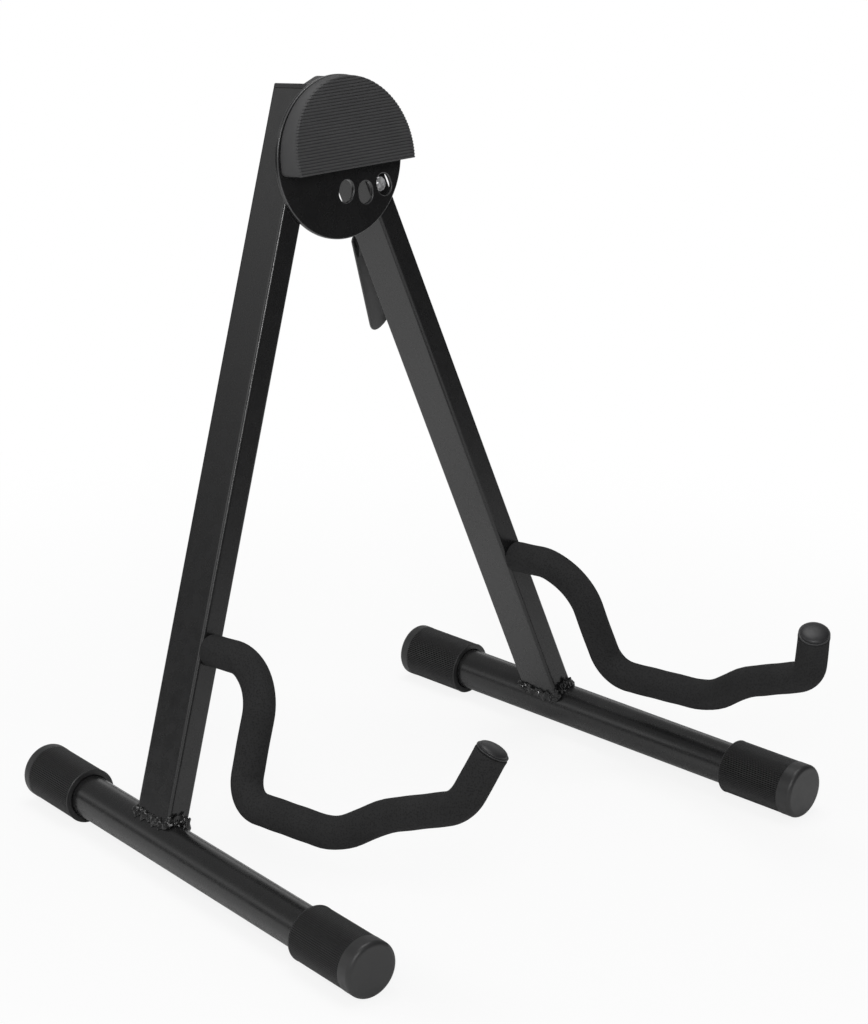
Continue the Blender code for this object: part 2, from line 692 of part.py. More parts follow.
def pivot_parts(pivot):
    """The bolt through the plate and the right leg, its two washers and its nut."""
    rear = -LEG_FRONT
    plate_back = LEG_FRONT + WASHER_GAP
    head_back = plate_back + PLATE_THICKNESS + CLEARANCE
    nut_front = rear - REAR_WASHER_THICKNESS - 2 * CLEARANCE
    nut_rear = nut_front - NUT_HEIGHT
    bolt_end = nut_rear - NUT_COLLAR - BOLT_END_PROUD
    bore = PIVOT_RADIUS + CLEARANCE

    bm = bmesh.new()
    lathe(bm, [(PIVOT_RADIUS - BOLT_CHAMFER, bolt_end), (PIVOT_RADIUS, bolt_end + BOLT_CHAMFER),
               (PIVOT_RADIUS, head_back), (PIVOT_HEAD_RADIUS, head_back),
               (PIVOT_HEAD_RADIUS, head_back + PIVOT_HEAD_BAND),
               (PIVOT_HEAD_RADIUS - PIVOT_HEAD_CROWN, head_back + PIVOT_HEAD_HEIGHT)], 24)
    piece("pivot_bolt", bm, zinc_steel(), pivot, FORWARD)

    for name, low, thickness in (
            ("front_washer", LEG_FRONT + CLEARANCE, FRONT_WASHER_THICKNESS),
            ("rear_washer", rear - CLEARANCE - REAR_WASHER_THICKNESS, REAR_WASHER_THICKNESS)):
        bm = bmesh.new()
        lathe(bm, [(WASHER_RADIUS, low), (WASHER_RADIUS, low + thickness),
                   (bore, low + thickness), (bore, low)], 24, closed=True)
        piece(name, bm, zinc_steel(), pivot, FORWARD)

    corner = NUT_ACROSS_FLATS / 2 / cos(pi / 6)
    collar = NUT_ACROSS_FLATS / 2 - NUT_COLLAR_INSET
    collar_rear = nut_rear - NUT_COLLAR
    bm = bmesh.new()
    lathe(bm, [(corner, nut_rear), (corner, nut_front)], 6)
    nut = piece("pivot_nut", bm, zinc_steel(), pivot, FORWARD, smooth=False)
    bm = bmesh.new()
    lathe(bm, [(collar - NUT_COLLAR_EDGE, collar_rear), (collar, collar_rear + NUT_COLLAR_EDGE),
               (collar, nut_rear + NUT_COLLAR)], 24)
    combine(nut, tool("nut_collar", bm, pivot, FORWARD), "UNION")
    hole = cylinder_tool("nut_bore", bore, bolt_end, nut_front + CLEARANCE, pivot, FORWARD)
    combine(nut, hole, "DIFFERENCE")


def lever_slot_below():
    """How far below the lever's pin its slot runs, to clear the cheeks at full squeeze."""
    swing = Matrix.Rotation(-LEVER_SQUEEZE, 2)
    heel = swing @ Vector(CHEEK_HEEL)
    toe = swing @ Vector((CHEEK_END[0] - CHEEK_TOE, CHEEK_END[1]))
    rear_face = LEG_FRONT + LEVER_PIN_FORWARD
    share = (rear_face - heel.x) / (toe.x - heel.x)
    return 2 * CLEARANCE - heel.lerp(toe, share).y


def open_right_leg(leg_obj, leg, pivot_along):
    """Cut the right leg for the pivot bolt, the index pin, the lever and the lever's pin."""
    at_pivot = Matrix.Translation((0, 0, pivot_along)) @ FORWARD
    at_index = Matrix.Translation((0, 0, pivot_along - INDEX_RADIUS_FROM_PIVOT)) @ FORWARD
    lever_up = pivot_along - INDEX_RADIUS_FROM_PIVOT - LEVER_PIN_BELOW_INDEX
    at_lever = Matrix.Translation((0, -LEVER_PIN_FORWARD, lever_up))
    through = LEG_FRONT + LEG_WALL
    cuts = [
        cylinder_tool("leg_pivot_hole", PIVOT_RADIUS + CLEARANCE, -through, through, leg,
                      at_pivot),
        cylinder_tool("leg_pin_front_hole", PIN_TIP_RADIUS + CLEARANCE, 0, through, leg,
                      at_index),
        cylinder_tool("leg_pin_rear_hole", PIN_STEM_RADIUS + CLEARANCE, -through, 0, leg,
                      at_index),
        cylinder_tool("leg_lever_pin_hole", LEVER_PIN_RADIUS + CLEARANCE, -LEG_WIDTH, LEG_WIDTH,
                      leg, at_lever @ SIDEWAYS, 16),
    ]
    bm = bmesh.new()
    half = CHEEK_OUTSIDE + CLEARANCE
    slot = [(-half, -2 * LEG_WALL), (half, -2 * LEG_WALL), (half, LEG_WALL), (-half, LEG_WALL)]
    prism(bm, slot, -lever_slot_below(), LEVER_SLOT_ABOVE)
    rear = Matrix.Translation((0, LEG_FRONT, lever_up))
    cuts.append(tool("leg_lever_slot", bm, leg, rear))
    for cut in cuts:
        combine(leg_obj, cut, "DIFFERENCE")
    return lever_up


def index_pin(leg, pivot_along):
    """The sprung pin, stored drawn back until its tip clears the plate, with a collar for the lever."""
    along = pivot_along - INDEX_RADIUS_FROM_PIVOT
    axis = frame("index_pin_axis", world[leg.name] @ Matrix.Translation((0, 0, along)), leg)
    tail = -LEG_FRONT - PIN_TAIL_PROUD
    collar_back = PIN_COLLAR_FORWARD - PIN_COLLAR_THICKNESS
    bm = bmesh.new()
    lathe(bm, [(PIN_STEM_RADIUS - PIN_TAIL_CHAMFER, tail),
               (PIN_STEM_RADIUS, tail + PIN_TAIL_CHAMFER), (PIN_STEM_RADIUS, collar_back),
               (PIN_COLLAR_RADIUS, collar_back), (PIN_COLLAR_RADIUS, PIN_COLLAR_FORWARD),
               (PIN_STEM_RADIUS, PIN_COLLAR_FORWARD), (PIN_STEM_RADIUS, PIN_SHOULDER_FORWARD),
               (PIN_TIP_RADIUS, PIN_SHOULDER_FORWARD),
               (PIN_TIP_RADIUS, PIN_TIP_FORWARD - PIN_TIP_CHAMFER),
               (PIN_TIP_RADIUS - PIN_TIP_CHAMFER, PIN_TIP_FORWARD)], 24)
    piece("index_pin", bm, bright_steel(), axis, FORWARD)
    pin_spring(axis, collar_back)


def pin_spring(axis, collar_back):
    """The coil spring between the leg's rear wall and the pin's collar."""
    wall = LEG_WALL - LEG_FRONT
    low = wall + CLEARANCE + SPRING_WIRE_RADIUS
    high = collar_back - CLEARANCE - SPRING_WIRE_RADIUS
    count = SPRING_TURNS * SPRING_POINTS_PER_TURN
    pitch = (high - low) / SPRING_TURNS
    curve = bpy.data.curves.new("pin_spring", "CURVE")
    curve.dimensions = "3D"
    curve.bevel_depth = SPRING_WIRE_RADIUS
    curve.bevel_resolution = 1
    curve.use_fill_caps = True
    spline = curve.splines.new("POLY")
    spline.points.add(count)
    points = []
    for k, point in enumerate(spline.points):
        angle = 2 * pi * k / SPRING_POINTS_PER_TURN
        place = Vector((SPRING_COIL_RADIUS * cos(angle), SPRING_COIL_RADIUS * sin(angle),
                        low + (high - low) * k / count))
        points.append(place)
        point.co = (*place, 1.0)
    nearest = min((points[a] - points[b]).length
                  for a in range(len(points))
                  for b in range(a + SPRING_POINTS_PER_TURN - 2, len(points)))
    print("pin_spring: pitch %.2f mm, least gap between turns %.2f mm"
          % (1000 * pitch, 1000 * (nearest - 2 * SPRING_WIRE_RADIUS)))
    curve.materials.append(zinc_steel())
    spring = bpy.data.objects.new("pin_spring", curve)
    bpy.context.scene.collection.objects.link(spring)
    spring.parent = axis
    spring.matrix_basis = FORWARD


def tongue_rings():
    """The pressed tongue, top to tip: a shallow gutter that bulges forward, with a half-round end."""
    half = LEVER_WIDTH / 2
    stations = [(0, CHEEK_OUTSIDE), (LEVER_SHOULDER, CHEEK_OUTSIDE), (half, half)]
    for angle in (0, 25, 45, 62, 76):
        turn = radians(angle)
        stations.append((LEVER_LENGTH - half + half * sin(turn), half * cos(turn)))
    down = Vector((0, sin(LEVER_TILT), -cos(LEVER_TILT)))
    ahead = Vector((0, -cos(LEVER_TILT), -sin(LEVER_TILT)))
    top = Vector((0, LEVER_TOP_BACK, -LEVER_TOP_DROP))
    rings = []
    for distance, width in stations:
        front, back = [], []
        for k in range(-3, 4):
            x = width * k / 3
            bulge = LEVER_GUTTER * (1 - (x / half) ** 2)
            point = top + down * distance + ahead * bulge + Vector((x, 0, 0))
            front.append(point)
            back.append(point - ahead * LEVER_SHEET)
        rings.append([tuple(p) for p in front + back[::-1]])
    return rings


def cheek_outline():
    """Side view of one cheek about the lever's pin: (rearward, up)."""
    index = LEVER_PIN_BELOW_INDEX
    back = LEVER_PIN_FORWARD - PIN_COLLAR_FORWARD - 3 * CLEARANCE
    front = LEVER_PIN_FORWARD - PIN_SHOULDER_FORWARD + 4 * CLEARANCE
    boss = {degree: (CHEEK_BOSS * cos(radians(degree)), CHEEK_BOSS * sin(radians(degree)))
            for degree in (20, 60, 100, 190, 235, 280)}
    return [
        CHEEK_END, (CHEEK_SEAT, CHEEK_TOP), boss[20], boss[60], boss[100],
        (-CHEEK_BOSS / 2, KNEE_UP), (back - FINGER_NICK, index - FINGER_BELOW), (back, index),
        (back - FINGER_NICK, index + FINGER_ABOVE),
        (back - 2 * FINGER_NICK, index + FINGER_ABOVE + FINGER_NICK),
        (front + FINGER_NICK, index + FINGER_ABOVE + FINGER_NICK),
        (front, index + FINGER_ABOVE), (front, index - FINGER_BELOW),
        (-CHEEK_BOSS - FINGER_NICK, KNEE_UP / 2), boss[190], boss[235], boss[280],
        CHEEK_HEEL, (CHEEK_END[0] - CHEEK_TOE, CHEEK_END[1]),
    ]


def lock_lever(leg, lever_up):
    """The lever that draws the index pin: two cheeks inside the leg, one tongue behind it."""
    place = Matrix.Translation((0, -LEVER_PIN_FORWARD, lever_up))
    axis = frame("lever_axis", world[leg.name] @ place, leg)
    bm = bmesh.new()
    skin(bm, tongue_rings())
    lever = piece("lock_lever", bm, powder_coat(), axis)
    for side, name in ((-1, "left"), (1, "right")):
        bm = bmesh.new()
        rings = []
        for x in (CHEEK_INSIDE, CHEEK_OUTSIDE):
            rings.append([(side * x, back, up) for back, up in cheek_outline()])
        skin(bm, rings)
        combine(lever, tool("lever_cheek_" + name, bm, axis), "UNION")
    hole = cylinder_tool("lever_pin_hole", LEVER_PIN_RADIUS + CLEARANCE, -LEG_WIDTH, LEG_WIDTH,
                         axis, SIDEWAYS, 16)
    combine(lever, hole, "DIFFERENCE")

    end, edge = LEG_WIDTH / 2, LEVER_PIN_CHAMFER
    bm = bmesh.new()
    lathe(bm, [(LEVER_PIN_RADIUS - edge, -end), (LEVER_PIN_RADIUS, edge - end),
               (LEVER_PIN_RADIUS, end - edge), (LEVER_PIN_RADIUS - edge, end)], 16)
    piece("lever_pin", bm, zinc_steel(), leg, place @ SIDEWAYS)


def stand_on_origin(stand):
    """Slide the whole stand so that its box stands centred on the origin."""
    bpy.context.view_layer.update()
    graph = bpy.context.evaluated_depsgraph_get()
    corners = []
    for obj in bpy.data.objects:
        if obj.type in {"MESH", "CURVE"} and not obj.hide_render:
            shown = obj.evaluated_get(graph)
            mesh = shown.to_mesh()
            corners += [obj.matrix_world @ vertex.co for vertex in mesh.vertices]
            shown.to_mesh_clear()
    low = Vector([min(c[k] for c in corners) for k in range(3)])
    high = Vector([max(c[k] for c in corners) for k in range(3)])
    shift = Vector((-(low.x + high.x) / 2, -(low.y + high.y) / 2, -low.z))
    stand.location = shift
    print("size %.1f x %.1f x %.1f mm" % tuple(1000 * (high - low)))
    print("shift %.6f %.6f %.6f" % tuple(shift))
    for name in ("head", "left_leg", "left_foot", "pivot_axis", "right_leg", "right_foot",
                 "index_pin_axis", "lever_axis"):
        place = world[name].translation + shift
        print("%s at %.5f %.5f %.5f" % (name, *place))
    return shift


def report_faces(shift):
    """Print the directions and the faces that a mount can name."""
    forward = world["head"].to_3x3() @ Vector((0, -1, 0))
    across = world["right_leg"].to_3x3() @ Vector((1, 0, 0))
    print("plate faces %.6f %.6f %.6f" % tuple(forward))
    print("right leg's width runs %.6f %.6f %.6f" % tuple(across))
    print("fold range %.1f degrees" % degrees(FOLD_ANGLE))
    middle_rib = round((PAD_CHORD_BELOW + PAD_BOTTOM_THICKNESS) / PAD_RIB_PITCH)
    rise = middle_rib * PAD_RIB_PITCH + PAD_RIB_CREST / 2
    face = PAD_BACK + PAD_BOTTOM_THICKNESS - PAD_TAPER * rise
    on_pad = world["head"] @ Vector((PAD_X, -face, PAD_UP - PAD_CHORD_BELOW + rise)) + shift
    normal = world["head"].to_3x3() @ Vector((0, -1, PAD_TAPER)).normalized()
    print("pad rib at %.6f %.6f %.6f" % tuple(on_pad), "facing %.6f %.6f %.6f" % tuple(normal))
    smooth_from_mouth = CAP_RIM + CAP_LENGTH - CAP_EDGE_ROUND
    for side in ("left", "right"):
        for end, along in (
                ("front", CAP_LENGTH - FOOT_FRONT_REACH - (smooth_from_mouth + FRONT_RIB_LENGTH) / 2),
                ("rear", FOOT_REAR_REACH - CAP_LENGTH + (smooth_from_mouth + REAR_RIB_LENGTH) / 2)):
            spot = world[side + "_foot"] @ Vector((0, along, -FOOT_AXIS_HEIGHT)) + shift
            print("%s %s cap rests at %.6f %.6f %.6f" % (side, end, *spot))


def main():
    clear_scene()
    frames = build_frames()
    for side in ("left", "right"):
        leg, foot = frames[side + "_leg"], frames[side + "_foot"]
        tube = leg_tube(side, leg, foot)
        if side == "right":
            lever_up = open_right_leg(tube, leg, frames["pivot_along"])
        leg_plug(side, leg)
        foot_tube(side, foot)
        foot_caps(side, foot)
        foot_weld(side, leg, foot)
        yoke_arm(side, leg)
    head_plate(frames["head"])
    plate_weld(frames["left_leg"])
    back_pad(frames["head"])
    pad_screws(frames["head"])
    pivot_parts(frames["pivot"])
    index_pin(frames["right_leg"], frames["pivot_along"])
    lock_lever(frames["right_leg"], lever_up)
    report_faces(stand_on_origin(frames["stand"]))


main()
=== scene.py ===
# %% [markdown]
# # A folding cello stand
# Two flat-sided legs meet behind a round steel plate. Each leg stands on a round
# foot tube with rubber caps, and holds out one foam-covered arm, and a ribbed
# rubber pad on the plate backs the instrument. The construction comes in as a
# frame that is never moved. This lesson builds the finished surface of each
# piece around it, in metres, and then lights it softly on a pale floor.

# %% Load the frame
import json
from math import acos, atan, atan2, ceil, cos, pi, radians, sin, sqrt, tan

import bmesh
import bpy
from mathutils import Matrix, Vector, noise


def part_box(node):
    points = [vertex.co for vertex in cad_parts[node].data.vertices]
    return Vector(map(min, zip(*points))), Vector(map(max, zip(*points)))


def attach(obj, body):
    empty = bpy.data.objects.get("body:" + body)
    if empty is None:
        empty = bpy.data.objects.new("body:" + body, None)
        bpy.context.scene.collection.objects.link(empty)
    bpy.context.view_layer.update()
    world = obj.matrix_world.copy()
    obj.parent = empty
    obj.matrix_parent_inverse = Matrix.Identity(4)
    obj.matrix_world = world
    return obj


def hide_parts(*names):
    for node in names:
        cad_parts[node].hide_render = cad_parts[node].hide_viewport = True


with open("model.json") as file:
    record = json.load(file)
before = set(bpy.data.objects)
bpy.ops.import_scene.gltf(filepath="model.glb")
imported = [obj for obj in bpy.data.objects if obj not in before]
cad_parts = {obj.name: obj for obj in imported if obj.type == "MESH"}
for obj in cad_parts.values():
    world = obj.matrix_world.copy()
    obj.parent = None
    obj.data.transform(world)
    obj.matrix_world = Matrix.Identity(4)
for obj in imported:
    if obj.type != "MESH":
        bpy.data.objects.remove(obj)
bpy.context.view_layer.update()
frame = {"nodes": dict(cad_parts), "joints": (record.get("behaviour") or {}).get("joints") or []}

# %% [markdown]
# ## The camera
# The stand was photographed from the front left, a little above the arms, with
# a long lens that keeps its edges nearly parallel. The angles and the distance
# come from the straight edges of the feet and legs. A small lens shift frames
# the stand as the photograph does, without turning the camera off it.

# %% Place the camera
FOCAL_LENGTH = 106.88
AZIMUTH = radians(-43.04)
ELEVATION = radians(19.22)
ROLL = radians(1.49)
DISTANCE = 1.788
LOOK_AT = Vector((0.01366, 0.05991, 0.1745))
LENS_SHIFT = (0.0423, 0.00057)

back = Vector((sin(AZIMUTH) * cos(ELEVATION), -cos(AZIMUTH) * cos(ELEVATION), sin(ELEVATION)))
level = (-back).cross(Vector((0, 0, 1))).normalized()
upright = level.cross(-back)
picture_right = cos(ROLL) * level + sin(ROLL) * upright
picture_up = cos(ROLL) * upright - sin(ROLL) * level
camera_place = Matrix((picture_right, picture_up, back)).transposed().to_4x4()
camera_place.translation = LOOK_AT + DISTANCE * back

camera_data = bpy.data.cameras.new("front_left_camera")
camera_data.lens = FOCAL_LENGTH
camera_data.shift_x, camera_data.shift_y = LENS_SHIFT
camera = bpy.data.objects.new("front_left_camera", camera_data)
camera.matrix_world = camera_place
bpy.context.scene.collection.objects.link(camera)
bpy.context.scene.camera = camera
print("camera at %.3f %.3f %.3f" % tuple(camera.location))

# %% [markdown]
# ## Where the pieces sit
# Every piece of this stand is square to a leg, to a foot or to the tilted head,
# so its shape is easiest to write in that part's own axes. The joints of the
# frame give those axes: the fold bolt's direction holds the lean, the lever's
# pin holds the splay, and the height of a foot cap gives the foot's axis.

# %% Work out the axes of the head, the legs and the feet
CLEARANCE = 0.0003
LEG_WIDTH = 0.015
LEG_DEPTH = 0.030
LEG_FRONT = LEG_DEPTH / 2
FRONT_WASHER_THICKNESS = 0.0018
WASHER_GAP = FRONT_WASHER_THICKNESS + 2 * CLEARANCE
RIGHT_LEG_BACK = WASHER_GAP - CLEARANCE
TOE_OUT = radians(4.1)

FORWARD = Matrix.Rotation(radians(90), 4, "X")
REARWARD = Matrix.Rotation(radians(-90), 4, "X")
SIDEWAYS = Matrix.Rotation(radians(90), 4, "Y")

joints = {joint["name"]: joint for joint in frame["joints"]}
fold_axis = Vector(joints["leg_fold"]["axis"])
LEAN = atan2(-fold_axis.z, fold_axis.y)
SPLAY = acos(joints["lever_squeeze"]["axis"][0])
FOOT_AXIS_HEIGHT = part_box("left_front_cap")[1].z / 2

lean = Matrix.Rotation(-LEAN, 4, "X")
PIVOT = Matrix.Translation(joints["leg_fold"]["pos_m"]) @ lean
HEAD = PIVOT @ Matrix.Translation((0, -RIGHT_LEG_BACK, 0))
DOWN_LEG = (PIVOT.translation.z - FOOT_AXIS_HEIGHT) / (cos(SPLAY) * cos(LEAN))
RIGHT_LEG = PIVOT @ Matrix.Rotation(-SPLAY, 4, "Y") @ Matrix.Translation((0, 0, -DOWN_LEG))
right_base = RIGHT_LEG.translation
left_base = Vector((-right_base.x, right_base.y - RIGHT_LEG_BACK / cos(LEAN), right_base.z))
LEFT_LEG = Matrix.Translation(left_base) @ lean @ Matrix.Rotation(SPLAY, 4, "Y")
LEGS = {"left": LEFT_LEG, "right": RIGHT_LEG}
FEET = {"left": Matrix.Translation(left_base) @ Matrix.Rotation(-TOE_OUT, 4, "Z"),
        "right": Matrix.Translation(right_base) @ Matrix.Rotation(TOE_OUT, 4, "Z")}
BODIES = {"left": "left_side", "right": "right_side"}
print("lean %.2f, splay %.2f degrees" % (LEAN * 180 / pi, SPLAY * 180 / pi))

# %% [markdown]
# ## Drawing tools
# Nearly everything here is a bent, turned or pressed section, so one helper does
# most of the work: it joins rings of points with quads and closes the ends. A
# turned piece is rings of growing and shrinking circles, and a tube is rings
# that run out along the outside and back along the inside.

# %% Rings, outlines and turned shapes
SIDES = 96
SMALL_SIDES = 64
TINY_SIDES = 48


def skin(rings, closed=False):
    """Join rings of equal counts with quads. Cap the ends, unless the rings close on themselves."""
    bm = bmesh.new()
    rows = [[bm.verts.new(point) for point in ring] for ring in rings]
    count = len(rows[0])
    pairs = list(zip(rows, rows[1:]))
    if closed:
        pairs.append((rows[-1], rows[0]))
    else:
        bm.faces.new(rows[0])
        bm.faces.new(rows[-1])
    for low, high in pairs:
        for k in range(count):
            after = (k + 1) % count
            bm.faces.new((low[k], low[after], high[after], high[k]))
    bmesh.ops.recalc_face_normals(bm, faces=bm.faces)
    return bm


def circle(radius, sides):
    """Points round a circle, starting half a step on, as the frame's round pieces do."""
    return [(radius * cos(2 * pi * (k + 0.5) / sides), radius * sin(2 * pi * (k + 0.5) / sides))
            for k in range(sides)]


def at_height(points, height):
    """Give flat points one height."""
    return [(x, y, height) for x, y in points]


def lathe(profile, sides=SIDES, closed=False):
    """Turn (radius, height) points about Z."""
    return skin([at_height(circle(radius, sides), height) for radius, height in profile], closed)


def quarter_round(size, steps):
    """(inset, drop) pairs up a quarter round, from its widest point in to its highest."""
    turns = [pi / 2 * k / steps for k in range(steps + 1)]
    return [(size * (1 - cos(turn)), size * (1 - sin(turn))) for turn in turns]


def round_edge(radius, height, size, steps=4):
    """Profile points of a rounded rim, from its widest radius in to its last height."""
    return [(radius - inset, height - drop) for inset, drop in quarter_round(size, steps)]


def rounded_rectangle(width, depth, radius, corner_steps=8, side_steps=1):
    """Points round a rectangle with round corners, counter-clockwise."""
    corners = []
    for sx, sy, start in ((1, 1, 0), (-1, 1, 90), (-1, -1, 180), (1, -1, 270)):
        cx, cy = sx * (width / 2 - radius), sy * (depth / 2 - radius)
        turns = [radians(start + 90 * k / corner_steps) for k in range(corner_steps + 1)]
        corners.append([(cx + radius * cos(turn), cy + radius * sin(turn)) for turn in turns])
    points = []
    for k, arc in enumerate(corners):
        points += arc
        end, start = Vector(arc[-1]), Vector(corners[(k + 1) % 4][0])
        points += [tuple(end.lerp(start, step / side_steps)) for step in range(1, side_steps)]
    return points


print("a turned ring has %d sides" % SIDES)

# %% [markdown]
# ## Putting a piece in place
# A finished piece is drawn in its own axes, then its points are moved into the
# frame, so that its object stays at the origin and its texture coordinates are
# real metres. Flat walls that run into small round corners would shade as if
# they bulged, so a weighted normal modifier lets the large faces decide.

# %% Place a piece, and cut one shape out of another
FINISH = {}
SHARP_ANGLE = radians(35)


def mesh_object(name, bm):
    """Turn a bmesh into an object at the origin."""
    mesh = bpy.data.meshes.new(name)
    bm.to_mesh(mesh)
    bm.free()
    obj = bpy.data.objects.new(name, mesh)
    bpy.context.scene.collection.objects.link(obj)
    return obj


def place(node, bm, matrix, slot, body, finish=None):
    """Put a finished piece where its node is: it takes the finish and rides on the body."""
    bm.transform(matrix)
    obj = mesh_object(node + "_finished", bm)
    obj.data.materials.append(FINISH[finish or slot])
    obj.data.shade_smooth()
    obj.data.set_sharp_from_angle(angle=SHARP_ANGLE)
    normals = obj.modifiers.new("flat_walls", "WEIGHTED_NORMAL")
    normals.keep_sharp = True
    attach(obj, body)
    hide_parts(node)
    low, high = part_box(node)
    seen = [obj.matrix_world @ vertex.co for vertex in obj.data.vertices]
    apart = max(max(abs(min(p[k] for p in seen) - low[k]), abs(max(p[k] for p in seen) - high[k]))
                for k in range(3))
    print("%s: %d faces, %.2f mm from its node's box"
          % (node, len(obj.data.polygons), 1000 * apart))
    return obj


def carve(bm, tools):
    """Apply (shape, operation) Booleans to a mesh, and give the result as a new bmesh."""
    body = mesh_object("uncut", bm)
    others = []
    for shape, operation in tools:
        other = mesh_object("tool", shape)
        modifier = body.modifiers.new("cut", "BOOLEAN")
        modifier.operation = operation
        modifier.solver = "EXACT"
        modifier.object = other
        others.append(other)
    bpy.context.view_layer.update()
    graph = bpy.context.evaluated_depsgraph_get()
    cut = bmesh.new()
    cut.from_object(body, graph)
    for obj in [body] + others:
        mesh = obj.data
        bpy.data.objects.remove(obj)
        bpy.data.meshes.remove(mesh)
    return cut


print("helpers ready")

# %% [markdown]
# ## Finishes: shared effects
# The stand is black all over, so its finishes are told apart by how they catch
# the light: satin powder coat with a faint orange peel, moulded rubber, soft
# foam with tiny pores, and bright or zinc-plated steel. Each effect is a small
# node group with named inputs and outputs, and each finish sets its own values.

# %% A helper that starts a node group
def new_group(name, inputs, outputs):
    """Start a shader node group, and return its tree with the two end nodes."""
    tree = bpy.data.node_groups.new(name, "ShaderNodeTree")
    for label, kind, value in inputs:
        tree.interface.new_socket(label, in_out="INPUT", socket_type=kind).default_value = value
    for label, kind in outputs:
        tree.interface.new_socket(label, in_out="OUTPUT", socket_type=kind)
    return tree, tree.nodes.new("NodeGroupInput"), tree.nodes.new("NodeGroupOutput")


def feed(tree, value, socket):
    """Link an output into a socket, or set the socket to a plain value."""
    if isinstance(value, bpy.types.NodeSocket):
        tree.links.new(value, socket)
    else:
        socket.default_value = value


def math_node(tree, operation, first, second=0.0):
    """One Math node. Returns its output."""
    node = tree.nodes.new("ShaderNodeMath")
    node.operation = operation
    feed(tree, first, node.inputs[0])
    feed(tree, second, node.inputs[1])
    return node.outputs["Value"]


def noise_node(tree, size, detail=2.0):
    """Noise in the object's own metres, its patches about the given size across."""
    where = tree.nodes.new("ShaderNodeTexCoord").outputs["Object"]
    node = tree.nodes.new("ShaderNodeTexNoise")
    tree.links.new(where, node.inputs["Vector"])
    feed(tree, math_node(tree, "DIVIDE", 1.0, size), node.inputs["Scale"])
    node.inputs["Detail"].default_value = detail
    return node.outputs["Fac"]


def ramp_node(tree, value, low, high, at_low=0.0, at_high=1.0):
    """A smooth change from one value to another. Returns its output."""
    node = tree.nodes.new("ShaderNodeMapRange")
    node.interpolation_type = "SMOOTHSTEP"
    tree.links.new(value, node.inputs["Value"])
    for label, number in (("From Min", low), ("From Max", high), ("To Min", at_low),
                          ("To Max", at_high)):
        node.inputs[label].default_value = number
    return node.outputs["Result"]


print("node helpers ready")

# %% [markdown]
# ### Mottling
# No coat or moulding is perfectly even. Broad soft patches make one area a
# little lighter and another a little duller, and the eye reads that as a real
# surface. Two noises are used, so that shade and gloss don't change together.

# %% Node group: mottling
GLOSS_PATCH_SHARE = 0.37
SHADE_DETAIL = 4.0
NOISE_MIDDLE = 0.5
NOISE_STRETCH = 4.0

MOTTLE, group_in, group_out = new_group(
    "mottling",
    (("Colour", "NodeSocketColor", (0.03, 0.03, 0.03, 1)),
     ("Colour Shift", "NodeSocketFloat", 0.1),
     ("Roughness", "NodeSocketFloat", 0.5),
     ("Roughness Shift", "NodeSocketFloat", 0.05),
     ("Patch Size", "NodeSocketFloat", 0.02)),
    (("Colour", "NodeSocketColor"), ("Roughness", "NodeSocketFloat")))
patch_size = group_in.outputs["Patch Size"]
shade = noise_node(MOTTLE, patch_size, SHADE_DETAIL)
gloss = noise_node(MOTTLE, math_node(MOTTLE, "MULTIPLY", patch_size, GLOSS_PATCH_SHARE))


def shift_node(noise_value, amount):
    """A noise as a swing about zero, as wide as the given amount."""
    swing = math_node(MOTTLE, "SUBTRACT", noise_value, NOISE_MIDDLE)
    swing = math_node(MOTTLE, "MULTIPLY", swing, amount)
    return math_node(MOTTLE, "MULTIPLY", swing, NOISE_STRETCH)


shade_shift = shift_node(shade, group_in.outputs["Colour Shift"])
gloss_shift = shift_node(gloss, group_in.outputs["Roughness Shift"])
scaled = MOTTLE.nodes.new("ShaderNodeVectorMath")
scaled.operation = "SCALE"
MOTTLE.links.new(group_in.outputs["Colour"], scaled.inputs[0])
MOTTLE.links.new(math_node(MOTTLE, "ADD", shade_shift, 1.0), scaled.inputs["Scale"])
MOTTLE.links.new(scaled.outputs["Vector"], group_out.inputs["Colour"])
MOTTLE.links.new(math_node(MOTTLE, "ADD", gloss_shift, group_in.outputs["Roughness"]),
                 group_out.inputs["Roughness"])
print("group:", MOTTLE.name)

# %% [markdown]
# ### Grain and pores
# Powder coat dries with a faint orange peel, rubber takes the fine grain of its
# mould, and foam is cut through its bubbles. All three are far too small to
# model, so they only tilt the surface normal, at their true size in metres.

# %% Node groups: raised grain, and open pores
PORE_FLOOR = 0.15
PORE_BRIM = 0.55
UNEVEN_PORES = 3.0

GRAIN, group_in, group_out = new_group(
    "raised_grain",
    (("Grain Size", "NodeSocketFloat", 0.001), ("Height", "NodeSocketFloat", 0.00001)),
    (("Normal", "NodeSocketVector"),))
bump = GRAIN.nodes.new("ShaderNodeBump")
GRAIN.links.new(noise_node(GRAIN, group_in.outputs["Grain Size"]), bump.inputs["Height"])
GRAIN.links.new(group_in.outputs["Height"], bump.inputs["Distance"])
GRAIN.links.new(bump.outputs["Normal"], group_out.inputs["Normal"])

